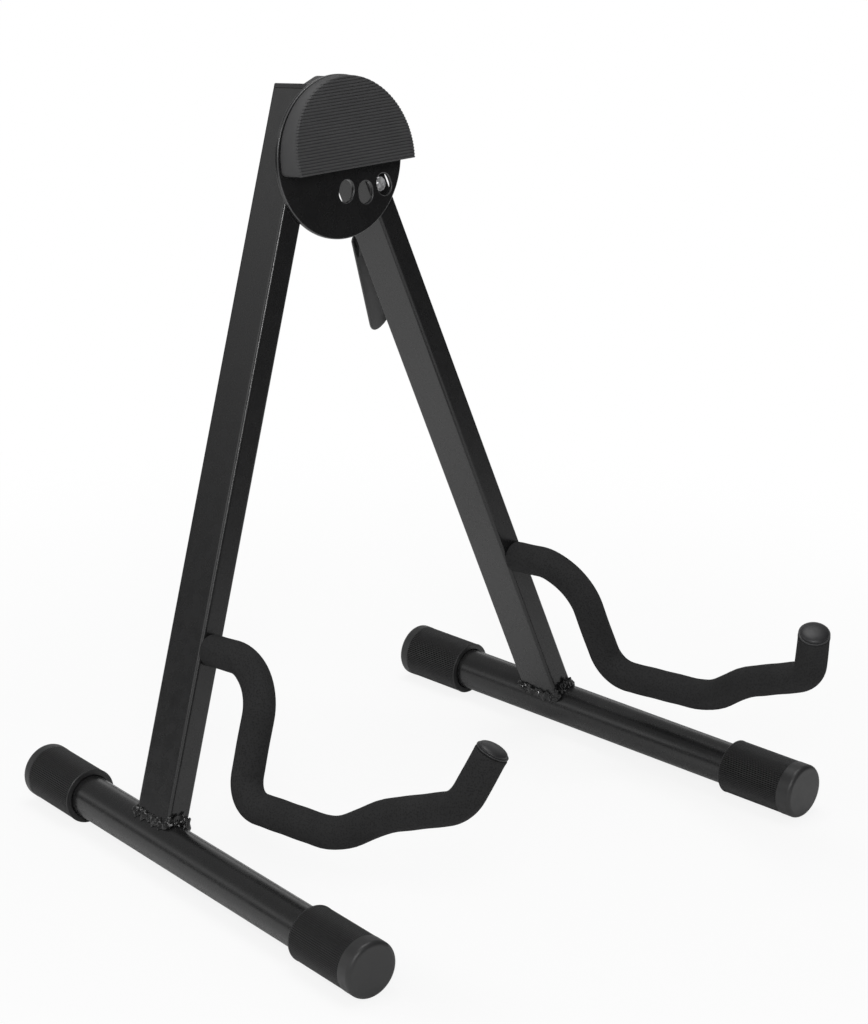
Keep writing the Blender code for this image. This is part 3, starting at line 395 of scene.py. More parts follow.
PORES, group_in, group_out = new_group(
    "open_pores",
    (("Pore Size", "NodeSocketFloat", 0.001), ("Depth", "NodeSocketFloat", 0.0001)),
    (("Openness", "NodeSocketFloat"), ("Normal", "NodeSocketVector")))
where = PORES.nodes.new("ShaderNodeTexCoord").outputs["Object"]
cells = PORES.nodes.new("ShaderNodeTexVoronoi")
PORES.links.new(where, cells.inputs["Vector"])
PORES.links.new(math_node(PORES, "DIVIDE", 1.0, group_in.outputs["Pore Size"]),
                cells.inputs["Scale"])
opening = ramp_node(PORES, cells.outputs["Distance"], PORE_FLOOR, PORE_BRIM)
uneven = noise_node(PORES, math_node(PORES, "MULTIPLY", group_in.outputs["Pore Size"],
                                     UNEVEN_PORES))
height = math_node(PORES, "ADD", opening, uneven)
bump = PORES.nodes.new("ShaderNodeBump")
PORES.links.new(height, bump.inputs["Height"])
PORES.links.new(group_in.outputs["Depth"], bump.inputs["Distance"])
PORES.links.new(opening, group_out.inputs["Openness"])
PORES.links.new(bump.outputs["Normal"], group_out.inputs["Normal"])
print("groups:", GRAIN.name, PORES.name)

# %% [markdown]
# ### Turned rings
# A turned steel end keeps the fine circles of the tool. Light then streaks
# across it in a bow-tie, as on a record. The rings are waves of the distance
# from the piece's axis, which is given as a point and a direction.

# %% Node group: turned rings
RINGS, group_in, group_out = new_group(
    "turned_rings",
    (("Centre", "NodeSocketVector", (0, 0, 0)), ("Axis", "NodeSocketVector", (0, 0, 1)),
     ("Ring Pitch", "NodeSocketFloat", 0.0002), ("Height", "NodeSocketFloat", 0.00001)),
    (("Normal", "NodeSocketVector"),))


def vector_node(tree, operation, first, second):
    """One Vector Math node of two inputs."""
    node = tree.nodes.new("ShaderNodeVectorMath")
    node.operation = operation
    tree.links.new(first, node.inputs[0])
    tree.links.new(second, node.inputs[1])
    return node


where = RINGS.nodes.new("ShaderNodeTexCoord").outputs["Object"]
arm = vector_node(RINGS, "SUBTRACT", where, group_in.outputs["Centre"]).outputs["Vector"]
off_axis = vector_node(RINGS, "CROSS_PRODUCT", arm, group_in.outputs["Axis"]).outputs["Vector"]
radius = RINGS.nodes.new("ShaderNodeVectorMath")
radius.operation = "LENGTH"
RINGS.links.new(off_axis, radius.inputs[0])
turns = math_node(RINGS, "DIVIDE", radius.outputs["Value"], group_in.outputs["Ring Pitch"])
wave = math_node(RINGS, "SINE", math_node(RINGS, "MULTIPLY", turns, 2 * pi))
bump = RINGS.nodes.new("ShaderNodeBump")
RINGS.links.new(wave, bump.inputs["Height"])
RINGS.links.new(group_in.outputs["Height"], bump.inputs["Distance"])
RINGS.links.new(bump.outputs["Normal"], group_out.inputs["Normal"])
print("group:", RINGS.name)

# %% [markdown]
# ## Finishes: the materials
# Each finish is one material with its own shader. Its colour and roughness come
# through the mottling, its normal comes from grain, pores or rings, and what is
# the same all over, such as the specular level, is set on the shader itself.

# %% A helper that builds a finish
def use_group(tree, group, **values):
    """Add a node group to a material, and set its inputs by name."""
    node = tree.nodes.new("ShaderNodeGroup")
    node.node_tree = group
    for label, value in values.items():
        node.inputs[label.replace("_", " ")].default_value = value
    return node


def new_finish(slot, name, colour, roughness, metallic=0.0, shift=0.06, gloss_shift=0.03,
               patch=0.02, specular=0.5, grain=None):
    """A material with mottled colour and roughness, and a grain of the given size and height.

    Returns its tree and its shader.
    """
    material = bpy.data.materials.new(name)
    material.use_nodes = True
    tree = material.node_tree
    shader = tree.nodes["Principled BSDF"]
    shader.inputs["Metallic"].default_value = metallic
    shader.inputs["Specular IOR Level"].default_value = specular
    mottle = use_group(tree, MOTTLE, Colour=(*colour, 1.0), Colour_Shift=shift,
                       Roughness=roughness, Roughness_Shift=gloss_shift, Patch_Size=patch)
    tree.links.new(mottle.outputs["Colour"], shader.inputs["Base Color"])
    tree.links.new(mottle.outputs["Roughness"], shader.inputs["Roughness"])
    if grain:
        raised = use_group(tree, GRAIN, Grain_Size=grain[0], Height=grain[1])
        tree.links.new(raised.outputs["Normal"], shader.inputs["Normal"])
    FINISH[slot] = material
    return tree, shader


print("finish helpers ready")

# %% [markdown]
# ### Powder coat, rubbers and plastic
# The tubes and the plate wear one satin black coat. It pools thick and glossy
# over the welds. A lighter coat along the plate's rim and slot edges is a
# painted highlight, and a lighter coat on the lever is painted light for the
# light its front catches. The caps and the pad are moulded rubber, a shade
# lighter and duller, and the plugs are plain plastic.

# %% Finishes of the coated, rubber and plastic pieces
COAT_GRAIN = (0.0014, 0.000003)

new_finish("powder_coat", "satin_powder_coat", (0.010, 0.010, 0.0103), 0.27, grain=COAT_GRAIN)
new_finish("pooled_coat", "coat_pooled_on_welds", (0.007, 0.007, 0.0072), 0.20,
           grain=(0.0008, 0.00005))
# A lighter coat for the plate's rim and slot edges: a painted highlight.
new_finish("rim_highlight_coat", "coat_painted_rim_highlight", (0.060, 0.060, 0.061), 0.30, grain=COAT_GRAIN)
# A lighter coat for the lever: painted light for the light its front catches.
new_finish("lever_painted_light_coat", "coat_painted_light_on_lever", (0.032, 0.032, 0.0325), 0.33,
           grain=COAT_GRAIN)
new_finish("cap_rubber", "moulded_cap_rubber", (0.019, 0.019, 0.0194), 0.45, patch=0.012,
           grain=(0.0006, 0.00002))
new_finish("pad_rubber", "ribbed_pad_rubber", (0.048, 0.048, 0.049), 0.62, patch=0.015,
           specular=0.4, grain=(0.0005, 0.00002))
new_finish("plug_plastic", "moulded_plastic", (0.020, 0.020, 0.021), 0.42, patch=0.01,
           specular=0.4, grain=(0.0004, 0.00001))
print("finishes:", sorted(FINISH))

# %% [markdown]
# ### Foam
# The sleeves are closed-cell foam: very rough, with nearly no gloss, a broad
# mottling, and fine pores that are pressed in, with painted shade inside them.

# %% Finish of the foam
PORE_PAINTED_SHADE = 0.35

tree, shader = new_finish("foam", "closed_cell_foam", (0.025, 0.025, 0.0254), 0.9,
                          specular=0.1, shift=0.12, patch=0.03)
pores = use_group(tree, PORES, Pore_Size=0.0011, Depth=0.00007)
tree.links.new(pores.outputs["Normal"], shader.inputs["Normal"])
mottled = shader.inputs["Base Color"].links[0].from_socket
# Painted shade: the base colour is darkened inside the pressed-in pores.
dark = tree.nodes.new("ShaderNodeMix")
dark.data_type = "RGBA"
dark.blend_type = "MULTIPLY"
dark.inputs["Factor"].default_value = PORE_PAINTED_SHADE
tree.links.new(mottled, dark.inputs["A"])
tree.links.new(pores.outputs["Openness"], dark.inputs["B"])
tree.links.new(dark.outputs["Result"], shader.inputs["Base Color"])
print("finishes:", sorted(FINISH))

# %% [markdown]
# ### Steel
# The bolt, washers, nut, screws, rods, spring and lever's pin are zinc plated,
# soft and a little blue. The index pin is bright, and its turned end shows rings
# about its axis.

# %% Finishes of the bare steel pieces
INDEX_RADIUS_FROM_PIVOT = 0.0429
INDEX_UP = DOWN_LEG - INDEX_RADIUS_FROM_PIVOT
INDEX_AXIS = RIGHT_LEG @ Matrix.Translation((0, 0, INDEX_UP))

new_finish("zinc_steel", "zinc_plated_steel", (0.42, 0.43, 0.45), 0.34, metallic=1.0,
           patch=0.006, grain=(0.0005, 0.000006))
tree, shader = new_finish("bright_steel", "bright_turned_steel", (0.86, 0.86, 0.87), 0.34,
                          metallic=1.0, shift=0.02, patch=0.004)
rings = use_group(tree, RINGS, Centre=tuple(INDEX_AXIS.translation),
                  Axis=tuple(INDEX_AXIS.to_3x3() @ Vector((0, 1, 0))),
                  Ring_Pitch=0.00022, Height=0.00003)
tree.links.new(rings.outputs["Normal"], shader.inputs["Normal"])
print("finishes:", sorted(FINISH))

# %% [markdown]
# ## Foot tubes and caps
# A foot is a plain one inch tube with a moulded rubber cap pushed on each end.
# The cap's grip has fine ribs all round: round crests with narrow valleys, so
# the ring of points swings in and out with a wave. The ribs stop short of a
# smooth band and a rounded closed end. The front caps are a little longer than
# the rear caps, with a wider smooth band.

# %% The foot tubes
FOOT_TUBE_RADIUS = 0.0127
FOOT_WALL = 0.0015
FOOT_FRONT_REACH = 0.1976
FOOT_REAR_REACH = 0.1182
CAP_END_WALL = 0.003

for side, foot in FEET.items():
    rear = FOOT_REAR_REACH - CAP_END_WALL - 2 * CLEARANCE
    front = FOOT_FRONT_REACH - CAP_END_WALL - 2 * CLEARANCE
    inner = FOOT_TUBE_RADIUS - FOOT_WALL
    tube = lathe([(FOOT_TUBE_RADIUS, -front), (FOOT_TUBE_RADIUS, rear), (inner, rear),
                  (inner, -front)], closed=True)
    place(side + "_foot_tube", tube, foot @ REARWARD, "powder_coat", BODIES[side])

# %% The rubber caps
CAP_RADIUS = FOOT_AXIS_HEIGHT
FRONT_CAP_LENGTH = 0.0525
REAR_CAP_LENGTH = 0.048
CAP_BORE = FOOT_TUBE_RADIUS + CLEARANCE
CAP_RIM = 0.0004
CAP_LIP = 0.0003
CAP_EDGE_ROUND = 0.0028
CAP_EDGE_STEPS = 8
CAP_RIBS = 84
CAP_RIB_DEPTH = 0.0011
RIB_POINTS = 8
RIB_RUN_OUT = 0.0004
RIB_ROUNDNESS = 0.8
FRONT_RIB_LENGTH = 0.0428
REAR_RIB_LENGTH = 0.0410


def cap_ring(radius, height, depth=0.0):
    """A ring of the cap. Its ribs are cut by the given depth, from crests at the given radius."""
    points = []
    for k in range(CAP_RIBS * RIB_POINTS):
        swing = abs(sin(pi * k / RIB_POINTS)) ** RIB_ROUNDNESS
        turn = 2 * pi * k / (CAP_RIBS * RIB_POINTS)
        r = radius - depth * (1 - swing)
        points.append((r * cos(turn), r * sin(turn), height))
    return points


def foot_cap(length, rib_length):
    """A ribbed cap, its open mouth at height 0."""
    rib_end = CAP_RIM + rib_length
    crest = CAP_RADIUS - CLEARANCE / 2
    rings = [cap_ring(CAP_BORE, length - CAP_END_WALL), cap_ring(CAP_BORE, CAP_LIP),
             cap_ring(CAP_BORE + CAP_LIP, 0), cap_ring(CAP_RADIUS - CAP_LIP, 0),
             cap_ring(CAP_RADIUS, CAP_LIP), cap_ring(CAP_RADIUS, CAP_RIM),
             cap_ring(crest, CAP_RIM + RIB_RUN_OUT, CAP_RIB_DEPTH),
             cap_ring(crest, rib_end - RIB_RUN_OUT, CAP_RIB_DEPTH), cap_ring(CAP_RADIUS, rib_end)]
    for radius, height in round_edge(CAP_RADIUS, length, CAP_EDGE_ROUND, CAP_EDGE_STEPS):
        rings.append(cap_ring(radius, height))
    rings.append(cap_ring(CAP_RADIUS / 2, length))
    return skin(rings)


for side, foot in FEET.items():
    for end, reach, length, rib_length, facing in (
            ("rear", FOOT_REAR_REACH, REAR_CAP_LENGTH, REAR_RIB_LENGTH, REARWARD),
            ("front", -FOOT_FRONT_REACH, -FRONT_CAP_LENGTH, FRONT_RIB_LENGTH, FORWARD)):
        mouth = foot @ Matrix.Translation((0, reach - length, 0)) @ facing
        place(side + "_" + end + "_cap", foot_cap(abs(length), rib_length), mouth, "cap_rubber",
              BODIES[side])

# %% [markdown]
# ## Legs
# A leg is a 15 by 30 mm tube with tight round corners, which catch one bright
# line each. Its lower end is hollowed to sit on the round foot tube: each point
# of the section is dropped along the leg until it meets the round tube, which a
# short formula gives exactly, with no Boolean.

# %% The section of a leg, and the hollow at its foot
LEG_WALL = 0.0015
LEG_CORNER = 0.002
LEG_LENGTH = 0.4325
SIDE_STEPS = 10


def height_on_tube(to_foot, x, y, radius):
    """Height along the leg at which the line through (x, y) meets a round tube."""
    start = to_foot @ Vector((x, y, 0))
    way = to_foot.to_3x3() @ Vector((0, 0, 1))
    a = way.x ** 2 + way.z ** 2
    b = start.x * way.x + start.z * way.z
    c = start.x ** 2 + start.z ** 2 - radius ** 2
    return (-b + sqrt(b * b - a * c)) / a


def leg_tube(side):
    """A leg, open at both ends, its lower end saddled over the foot tube."""
    to_foot = FEET[side].inverted() @ LEGS[side]
    outer = rounded_rectangle(LEG_WIDTH, LEG_DEPTH, LEG_CORNER, side_steps=SIDE_STEPS)
    inner = rounded_rectangle(LEG_WIDTH - 2 * LEG_WALL, LEG_DEPTH - 2 * LEG_WALL,
                              LEG_CORNER - LEG_WALL, side_steps=SIDE_STEPS)
    saddle = FOOT_TUBE_RADIUS + CLEARANCE
    low_outer = [(x, y, height_on_tube(to_foot, x, y, saddle)) for x, y in outer]
    low_inner = [(x, y, height_on_tube(to_foot, x, y, saddle)) for x, y in inner]
    return skin([low_outer, at_height(outer, LEG_LENGTH), at_height(inner, LEG_LENGTH),
                 low_inner], closed=True)


place("left_leg_tube", leg_tube("left"), LEFT_LEG, "powder_coat", "left_side")

# %% [markdown]
# ### Openings in the folding leg
# The right leg is drilled for the fold bolt, for the index pin and for the
# lever's pin, and has a slot in its rear wall for the lever's cheeks. These cut
# through the tube's walls, so they are real Booleans with round cutters.

# %% Cut the right leg
PIVOT_RADIUS = 0.004
PIN_TIP_RADIUS = 0.00425
PIN_STEM_RADIUS = 0.003
LEVER_PIN_BELOW_INDEX = 0.024
LEVER_PIN_FORWARD = -0.005
LEVER_PIN_RADIUS = 0.002
LEVER_SHEET = 0.0015
LEVER_SLOT_ABOVE = 0.0017
LEVER_SLOT_BELOW = 0.0171
CHEEK_INSIDE = PIN_STEM_RADIUS + 3 * CLEARANCE
CHEEK_OUTSIDE = CHEEK_INSIDE + LEVER_SHEET
LEVER_UP = INDEX_UP - LEVER_PIN_BELOW_INDEX
THROUGH = LEG_FRONT + LEG_WALL


def cutter(radius, low, high, matrix):
    """A round cutter along the Z of a matrix."""
    bm = lathe([(radius, low), (radius, high)], TINY_SIDES)
    bm.transform(matrix)
    return bm, "DIFFERENCE"


at_pivot = Matrix.Translation((0, 0, DOWN_LEG)) @ FORWARD
at_index = Matrix.Translation((0, 0, INDEX_UP)) @ FORWARD
at_lever = Matrix.Translation((0, -LEVER_PIN_FORWARD, LEVER_UP))
slot_half = CHEEK_OUTSIDE + CLEARANCE
slot_outline = [(-slot_half, LEG_FRONT - 2 * LEG_WALL), (slot_half, LEG_FRONT - 2 * LEG_WALL),
                (slot_half, THROUGH), (-slot_half, THROUGH)]
lever_slot = skin([at_height(slot_outline, LEVER_UP - LEVER_SLOT_BELOW),
                   at_height(slot_outline, LEVER_UP + LEVER_SLOT_ABOVE)])
right_tube = carve(leg_tube("right"), [
    cutter(PIVOT_RADIUS + CLEARANCE, -THROUGH, THROUGH, at_pivot),
    cutter(PIN_TIP_RADIUS + CLEARANCE, 0, THROUGH, at_index),
    cutter(PIN_STEM_RADIUS + CLEARANCE, -THROUGH, 0, at_index),
    cutter(LEVER_PIN_RADIUS + CLEARANCE, -LEG_WIDTH, LEG_WIDTH, at_lever @ SIDEWAYS),
    (lever_slot, "DIFFERENCE")])
place("right_leg_tube", right_tube, RIGHT_LEG, "powder_coat", "right_side")

# %% [markdown]
# ### Plugs
# A moulded plug closes the top of each leg. Its head is as wide as the tube and
# has a soft edge, and a thin dark line shows where it meets the metal.

# %% The plugs in the tops of the legs
PLUG_HEAD = 0.0027
PLUG_DEPTH = 0.014
PLUG_EDGE = 0.0006
PLUG_EDGE_STEPS = 4

head_low = LEG_LENGTH + CLEARANCE
head_high = head_low + PLUG_HEAD
slack = 2 * (LEG_WALL + CLEARANCE)
stem = rounded_rectangle(LEG_WIDTH - slack, LEG_DEPTH - slack, CLEARANCE)
head = rounded_rectangle(LEG_WIDTH, LEG_DEPTH, LEG_CORNER)
for side, leg in LEGS.items():
    rings = [at_height(stem, head_low - PLUG_DEPTH), at_height(stem, head_low),
             at_height(head, head_low)]
    for inset, drop in quarter_round(PLUG_EDGE, PLUG_EDGE_STEPS):
        outline = rounded_rectangle(LEG_WIDTH - 2 * inset, LEG_DEPTH - 2 * inset,
                                    LEG_CORNER - inset)
        rings.append(at_height(outline, head_high - drop))
    place(side + "_leg_plug", skin(rings), leg, "plug_plastic", BODIES[side])

# %% [markdown]
# ## Weld beads
# A weld on such a stand is a row of small uneven lumps under a thick glossy pool
# of coat. A bead is a quarter-round section that runs along the joint, and solid
# noise makes its size rise and fall, so that no two lumps are alike. On the leg's
# front the weld was laid on thicker, and climbs the leg.

# %% The bead round the foot of each leg
WELD_REACH = 0.0021
WELD_CLIMB = 0.0022
FRONT_CLIMB = 2.6
FRONT_FROM = 0.75
WELD_STEPS = 9
LUMP_SIZE = 0.0021
LUMP_SHARE = 0.75
SPATTER_SIZE = 0.0008
SPATTER_SHARE = 0.25
SMALLEST_LUMP = 0.3
BEAD_CORNER_STEPS = 8
BEAD_SIDE_STEPS = 64


def lumpiness(point):
    """How much larger or smaller the weld is at a point, about 1."""
    return max(SMALLEST_LUMP, 1 + LUMP_SHARE * noise.noise(point / LUMP_SIZE)
               + SPATTER_SHARE * noise.noise(point / SPATTER_SIZE))


def bead_section(reach, climb):
    """A bead's root, and a quarter round from one surface to the other: (offset, lift)."""
    section = [(0.0, 0.0)]
    for k in range(WELD_STEPS + 1):
        turn = pi / 2 * k / WELD_STEPS
        section.append((reach * sin(turn), climb * cos(turn)))
    return section


def foot_bead(side):
    """A bead all round the foot of a leg, drawn as rings of the leg's section pushed outward."""
    to_foot = FEET[side].inverted() @ LEGS[side]
    seam = rounded_rectangle(LEG_WIDTH, LEG_DEPTH, LEG_CORNER, BEAD_CORNER_STEPS, BEAD_SIDE_STEPS)
    rings = []
    for k in range(WELD_STEPS + 2):
        ring = []
        for spot, (seam_x, seam_y) in enumerate(seam):
            at_front = max(0.0, (-seam_y / LEG_FRONT - FRONT_FROM) / (1 - FRONT_FROM))
            climb = WELD_CLIMB * (1 + (FRONT_CLIMB - 1) * at_front)
            offset, lift = bead_section(WELD_REACH, climb)[k]
            lump = lumpiness(Vector((seam_x, seam_y, lift - offset)))
            offset = CLEARANCE + offset * lump
            path = rounded_rectangle(LEG_WIDTH + 2 * offset, LEG_DEPTH + 2 * offset,
                                     LEG_CORNER + offset, BEAD_CORNER_STEPS, BEAD_SIDE_STEPS)
            x, y = path[spot]
            radius = FOOT_TUBE_RADIUS + CLEARANCE + lift * lump
            ring.append((x, y, height_on_tube(to_foot, x, y, radius)))
        rings.append(ring)
    return skin(rings, closed=True)


for side, leg in LEGS.items():
    place(side + "_foot_weld", foot_bead(side), leg, "powder_coat", BODIES[side], "pooled_coat")

# %% [markdown]
# ## Arms
# Each arm is one steel rod, bent in the leg's own plane, inside a foam sleeve.
# The route is a few corners with a bend radius each. Straight runs and arcs
# follow from them, and the sleeve is a ring of points carried along the route.
# Foam is never quite straight, so the ring wanders by about a tenth of a
# millimetre, and both of the sleeve's ends are softly rounded. Foam also cuts
# the corners of the rod's long double bend, so the sleeve's outside takes the
# same corners in wider arcs, while its bore stays on the rod.

# %% The route of an arm
YOKE_ROD_RADIUS = 0.004
YOKE_SLEEVE_RADIUS = 0.00925
YOKE_HEIGHT = 0.111
YOKE_CORNERS = ((0.0650, 0.1095), (0.0655, 0.0330), (0.1465, 0.0300), (0.1790, 0.0475),
                (0.2335, 0.0625))
YOKE_TIP = (0.2475, 0.0935)
ROD_BEND_RADII = (0.028, 0.016, 0.025, 0.025, 0.020)
FOAM_BEND_RADII = (0.030, 0.017, 0.055, 0.075, 0.021)
BEND_STEP = radians(5)
RUN_STEP = 0.004


def straight_run(start, end):
    """Stations along a straight run, without its last point."""
    way = (end - start).normalized()
    steps = max(1, ceil((end - start).length / RUN_STEP))
    return [(start.lerp(end, k / steps), way) for k in range(steps)]


def bent_route(radii):
    """The arm's route, with an arc of each radius at its corner: (point, direction) stations."""
    start = (LEG_FRONT + CLEARANCE, YOKE_HEIGHT)
    corners = [Vector(corner) for corner in (start, *YOKE_CORNERS, YOKE_TIP)]
    stations, here = [], corners[0]
    for k, radius in enumerate(radii):
        before = (corners[k + 1] - corners[k]).normalized()
        after = (corners[k + 2] - corners[k + 1]).normalized()
        turn = before.angle_signed(after)
        arc_start = corners[k + 1] - before * radius * tan(abs(turn) / 2)
        stations += straight_run(here, arc_start)
        centre = arc_start + Vector((before.y, -before.x)) * (radius if turn > 0 else -radius)
        steps = max(1, ceil(abs(turn) / BEND_STEP))
        for step in range(steps):
            swing = Matrix.Rotation(-turn * step / steps, 2)
            stations.append((centre + swing @ (arc_start - centre), swing @ before))
        here = centre + Matrix.Rotation(-turn, 2) @ (arc_start - centre)
    stations += straight_run(here, corners[-1])
    stations.append((corners[-1], (corners[-1] - corners[-2]).normalized()))
    return stations


rod_route = bent_route(ROD_BEND_RADII)
foam_route = bent_route(FOAM_BEND_RADII)
arm_length = sum((b[0] - a[0]).length for a, b in zip(rod_route, rod_route[1:]))
print("an arm's sleeve is %.0f mm long, with %d stations" % (1000 * arm_length, len(foam_route)))

# %% The foam sleeves
SLEEVE_END_ROUND = 0.0012
SLEEVE_END_STEPS = 5
SLEEVE_WANDER = 0.00008
FORWARD_WAVES = 310
UPWARD_WAVES = 190
OUT_WAVES = 3
ACROSS_WAVES = 2


def wire_ring(point, way, radius, wander=0.0):
    """A ring of points square to the route, in the leg's forward-and-up plane."""
    ring = []
    for across, out in circle(radius, SMALL_SIDES):
        swell = 1 + wander / radius * (
            sin(FORWARD_WAVES * point.x + OUT_WAVES * out / radius)
            + sin(UPWARD_WAVES * point.y - ACROSS_WAVES * across / radius))
        across, out = across * swell, out * swell
        ring.append((across, -(point.x - out * way.y), point.y + out * way.x))
    return ring


def foam_sleeve():
    """The sleeve's outside from leg to tip, with rounded ends, and back through its bore."""
    first, last = foam_route[0], foam_route[-1]
    end_round = quarter_round(SLEEVE_END_ROUND, SLEEVE_END_STEPS)
    rings = [wire_ring(first[0] + first[1] * inset, first[1], YOKE_SLEEVE_RADIUS - drop)
             for inset, drop in end_round[:-1]]
    rings += [wire_ring(point, way, YOKE_SLEEVE_RADIUS - SLEEVE_WANDER, SLEEVE_WANDER)
              for point, way in foam_route[1:-1]]
    rings += [wire_ring(last[0] - last[1] * inset, last[1], YOKE_SLEEVE_RADIUS - drop)
              for inset, drop in end_round[::-1]]
    bore = YOKE_ROD_RADIUS + 2 * CLEARANCE
    rings += [wire_ring(point, way, bore) for point, way in rod_route[::-1]]
    return skin(rings, closed=True)


for side, leg in LEGS.items():
    sleeve = place(side + "_yoke_sleeve", foam_sleeve(), leg, "foam", BODIES[side])

# %% [markdown]
# ### The plugs in the arms' ends
# A domed plastic plug closes each sleeve. It has a thin flange with a rounded
# rim, a fine step where the low dome begins, and a stem pushed into the foam.

# %% The domed plugs
TIP_RADIUS = 0.0091
TIP_BAND = 0.0009
TIP_RIM_ROUND = 0.0003
DOME_RADIUS = 0.0082
DOME_STEP = 0.0004
TIP_DOME = 0.0024
DOME_DEGREES = 6
TIP_STEM = 0.010

tip, tip_way = rod_route[-1]
brow = CLEARANCE + TIP_BAND
dome = [(YOKE_ROD_RADIUS, -TIP_STEM), (YOKE_ROD_RADIUS, CLEARANCE),
        (TIP_RADIUS - TIP_RIM_ROUND, CLEARANCE), (TIP_RADIUS, CLEARANCE + TIP_RIM_ROUND)]
dome += round_edge(TIP_RADIUS, brow, TIP_RIM_ROUND)
dome.append((DOME_RADIUS, brow))
for degree in range(0, 90, DOME_DEGREES):
    turn = radians(degree)
    dome.append((DOME_RADIUS * cos(turn), brow + DOME_STEP + TIP_DOME * sin(turn)))
aim = Matrix.Rotation(atan(tip_way.x / tip_way.y), 4, "X")
for side, leg in LEGS.items():
    seat = leg @ Matrix.Translation((0, -tip.x, tip.y)) @ aim
    place(side + "_yoke_tip", lathe(dome, SMALL_SIDES), seat, "plug_plastic", BODIES[side])

# %% [markdown]
# ## The head plate
# A round steel plate carries the pad and is the lock's index. It is turned as a
# disc with a rounded rim, then three slots are punched through it on a circle
# about the fold bolt. Each punch is wider at the two faces, in steps of a
# quarter round, so that every slot gets a rounded edge that catches the light.
# All faces that lean between flat and upright are such edges, and they take a
# lighter coat, which is a painted highlight along the rim and the slot edges.

# %% The plate with its slots and holes
PLATE_LEFT_OF_PIVOT = 0.0170
PLATE_BELOW_PIVOT = 0.0203
PLATE_RADIUS = 0.047
PLATE_THICKNESS = 0.0025
PLATE_EDGE = 0.0006
PLATE_SIDES = 192
RIM_LEAN = (0.15, 0.985)
PLATE_BACK = LEG_FRONT + CLEARANCE
PLATE_FRONT = PLATE_BACK + PLATE_THICKNESS
PUNCH_EDGE_STEPS = 3
SLOT_COUNT = 3
SLOT_PITCH = radians(19.8)
SLOT_WIDTH = 0.0105
SLOT_LENGTH = 0.013
PAD_RIGHT_OF_PLATE = 0.0020
PAD_ABOVE_PLATE = 0.0020
SCREW_RADIUS = 0.0019
SCREW_PLACES = ((-0.0028, 0.0225), (0.0312, 0.0145))


def obround(width, length, steps=16):
    """Points round a slot with half-round ends, its length along Y."""
    points = []
    for start, shift in ((0, (length - width) / 2), (pi, (width - length) / 2)):
        turns = [start + pi * k / steps for k in range(steps + 1)]
        points += [(width / 2 * cos(turn), width / 2 * sin(turn) + shift) for turn in turns]
    return points


def punch(width, length, matrix):
    """A cutter for the plate that leaves a rounded edge on both of its faces."""
    steps = [(PLATE_BACK - PLATE_THICKNESS, PLATE_EDGE)]
    steps += [(PLATE_BACK + inset, drop) for inset, drop
              in quarter_round(PLATE_EDGE, PUNCH_EDGE_STEPS)]
    mirrored = [(PLATE_BACK + PLATE_FRONT - height, grow) for height, grow in steps[::-1]]
    rings = [at_height(obround(width + 2 * grow, length + 2 * grow), height)
             for height, grow in steps + mirrored]
    bm = skin(rings)
    bm.transform(matrix)
    return bm, "DIFFERENCE"


on_plate = HEAD @ Matrix.Translation((-PLATE_LEFT_OF_PIVOT, 0, -PLATE_BELOW_PIVOT)) @ FORWARD
to_plate = on_plate.inverted() @ HEAD @ FORWARD
SCREW_SEATS = [Matrix.Translation((right + PAD_RIGHT_OF_PLATE, up + PAD_ABOVE_PLATE, 0))
               for right, up in SCREW_PLACES]
pivot_hole = 2 * (PIVOT_RADIUS + CLEARANCE)
punches = [punch(pivot_hole, pivot_hole + CLEARANCE, to_plate)]
for k in range(SLOT_COUNT):
    turn = Matrix.Rotation(SPLAY - k * SLOT_PITCH, 4, "Z")
    drop = Matrix.Translation((0, -INDEX_RADIUS_FROM_PIVOT, 0))
    punches.append(punch(SLOT_WIDTH, SLOT_LENGTH, to_plate @ turn @ drop))
for seat in SCREW_SEATS:
    punches.append(cutter(SCREW_RADIUS + CLEARANCE, PLATE_BACK - PLATE_THICKNESS,
                          PLATE_FRONT + PLATE_THICKNESS, seat))
front_rim = round_edge(PLATE_RADIUS, PLATE_FRONT, PLATE_EDGE)
back_rim = [(radius, PLATE_BACK + PLATE_FRONT - height) for radius, height in front_rim[::-1]]
plate = place("head_disc", carve(lathe(back_rim + front_rim, PLATE_SIDES), punches), on_plate,
              "powder_coat", "left_side")
# The leaning faces of the rim and slots take the lighter coat, a painted highlight.
plate.data.materials.append(FINISH["rim_highlight_coat"])
plate_axis = on_plate.to_3x3() @ Vector((0, 0, 1))
painted_highlight = [face for face in plate.data.polygons
        if RIM_LEAN[0] < abs(face.normal.dot(plate_axis)) < RIM_LEAN[1]]
for face in painted_highlight:
    face.material_index = 1
print("the plate has %d worn faces" % len(painted_highlight))

# %% [markdown]
# ### The beads behind the plate
# Two more beads run up the sides of the left leg, where the plate is welded to
# it. They taper at both ends, as a bead does where the torch starts and stops.

# %% The beads between the plate and the left leg
PLATE_WELD = 0.0032
PLATE_WELD_END = 0.0014
WIDEST_LUMP = 1.2
BEAD_STEP = 0.0003

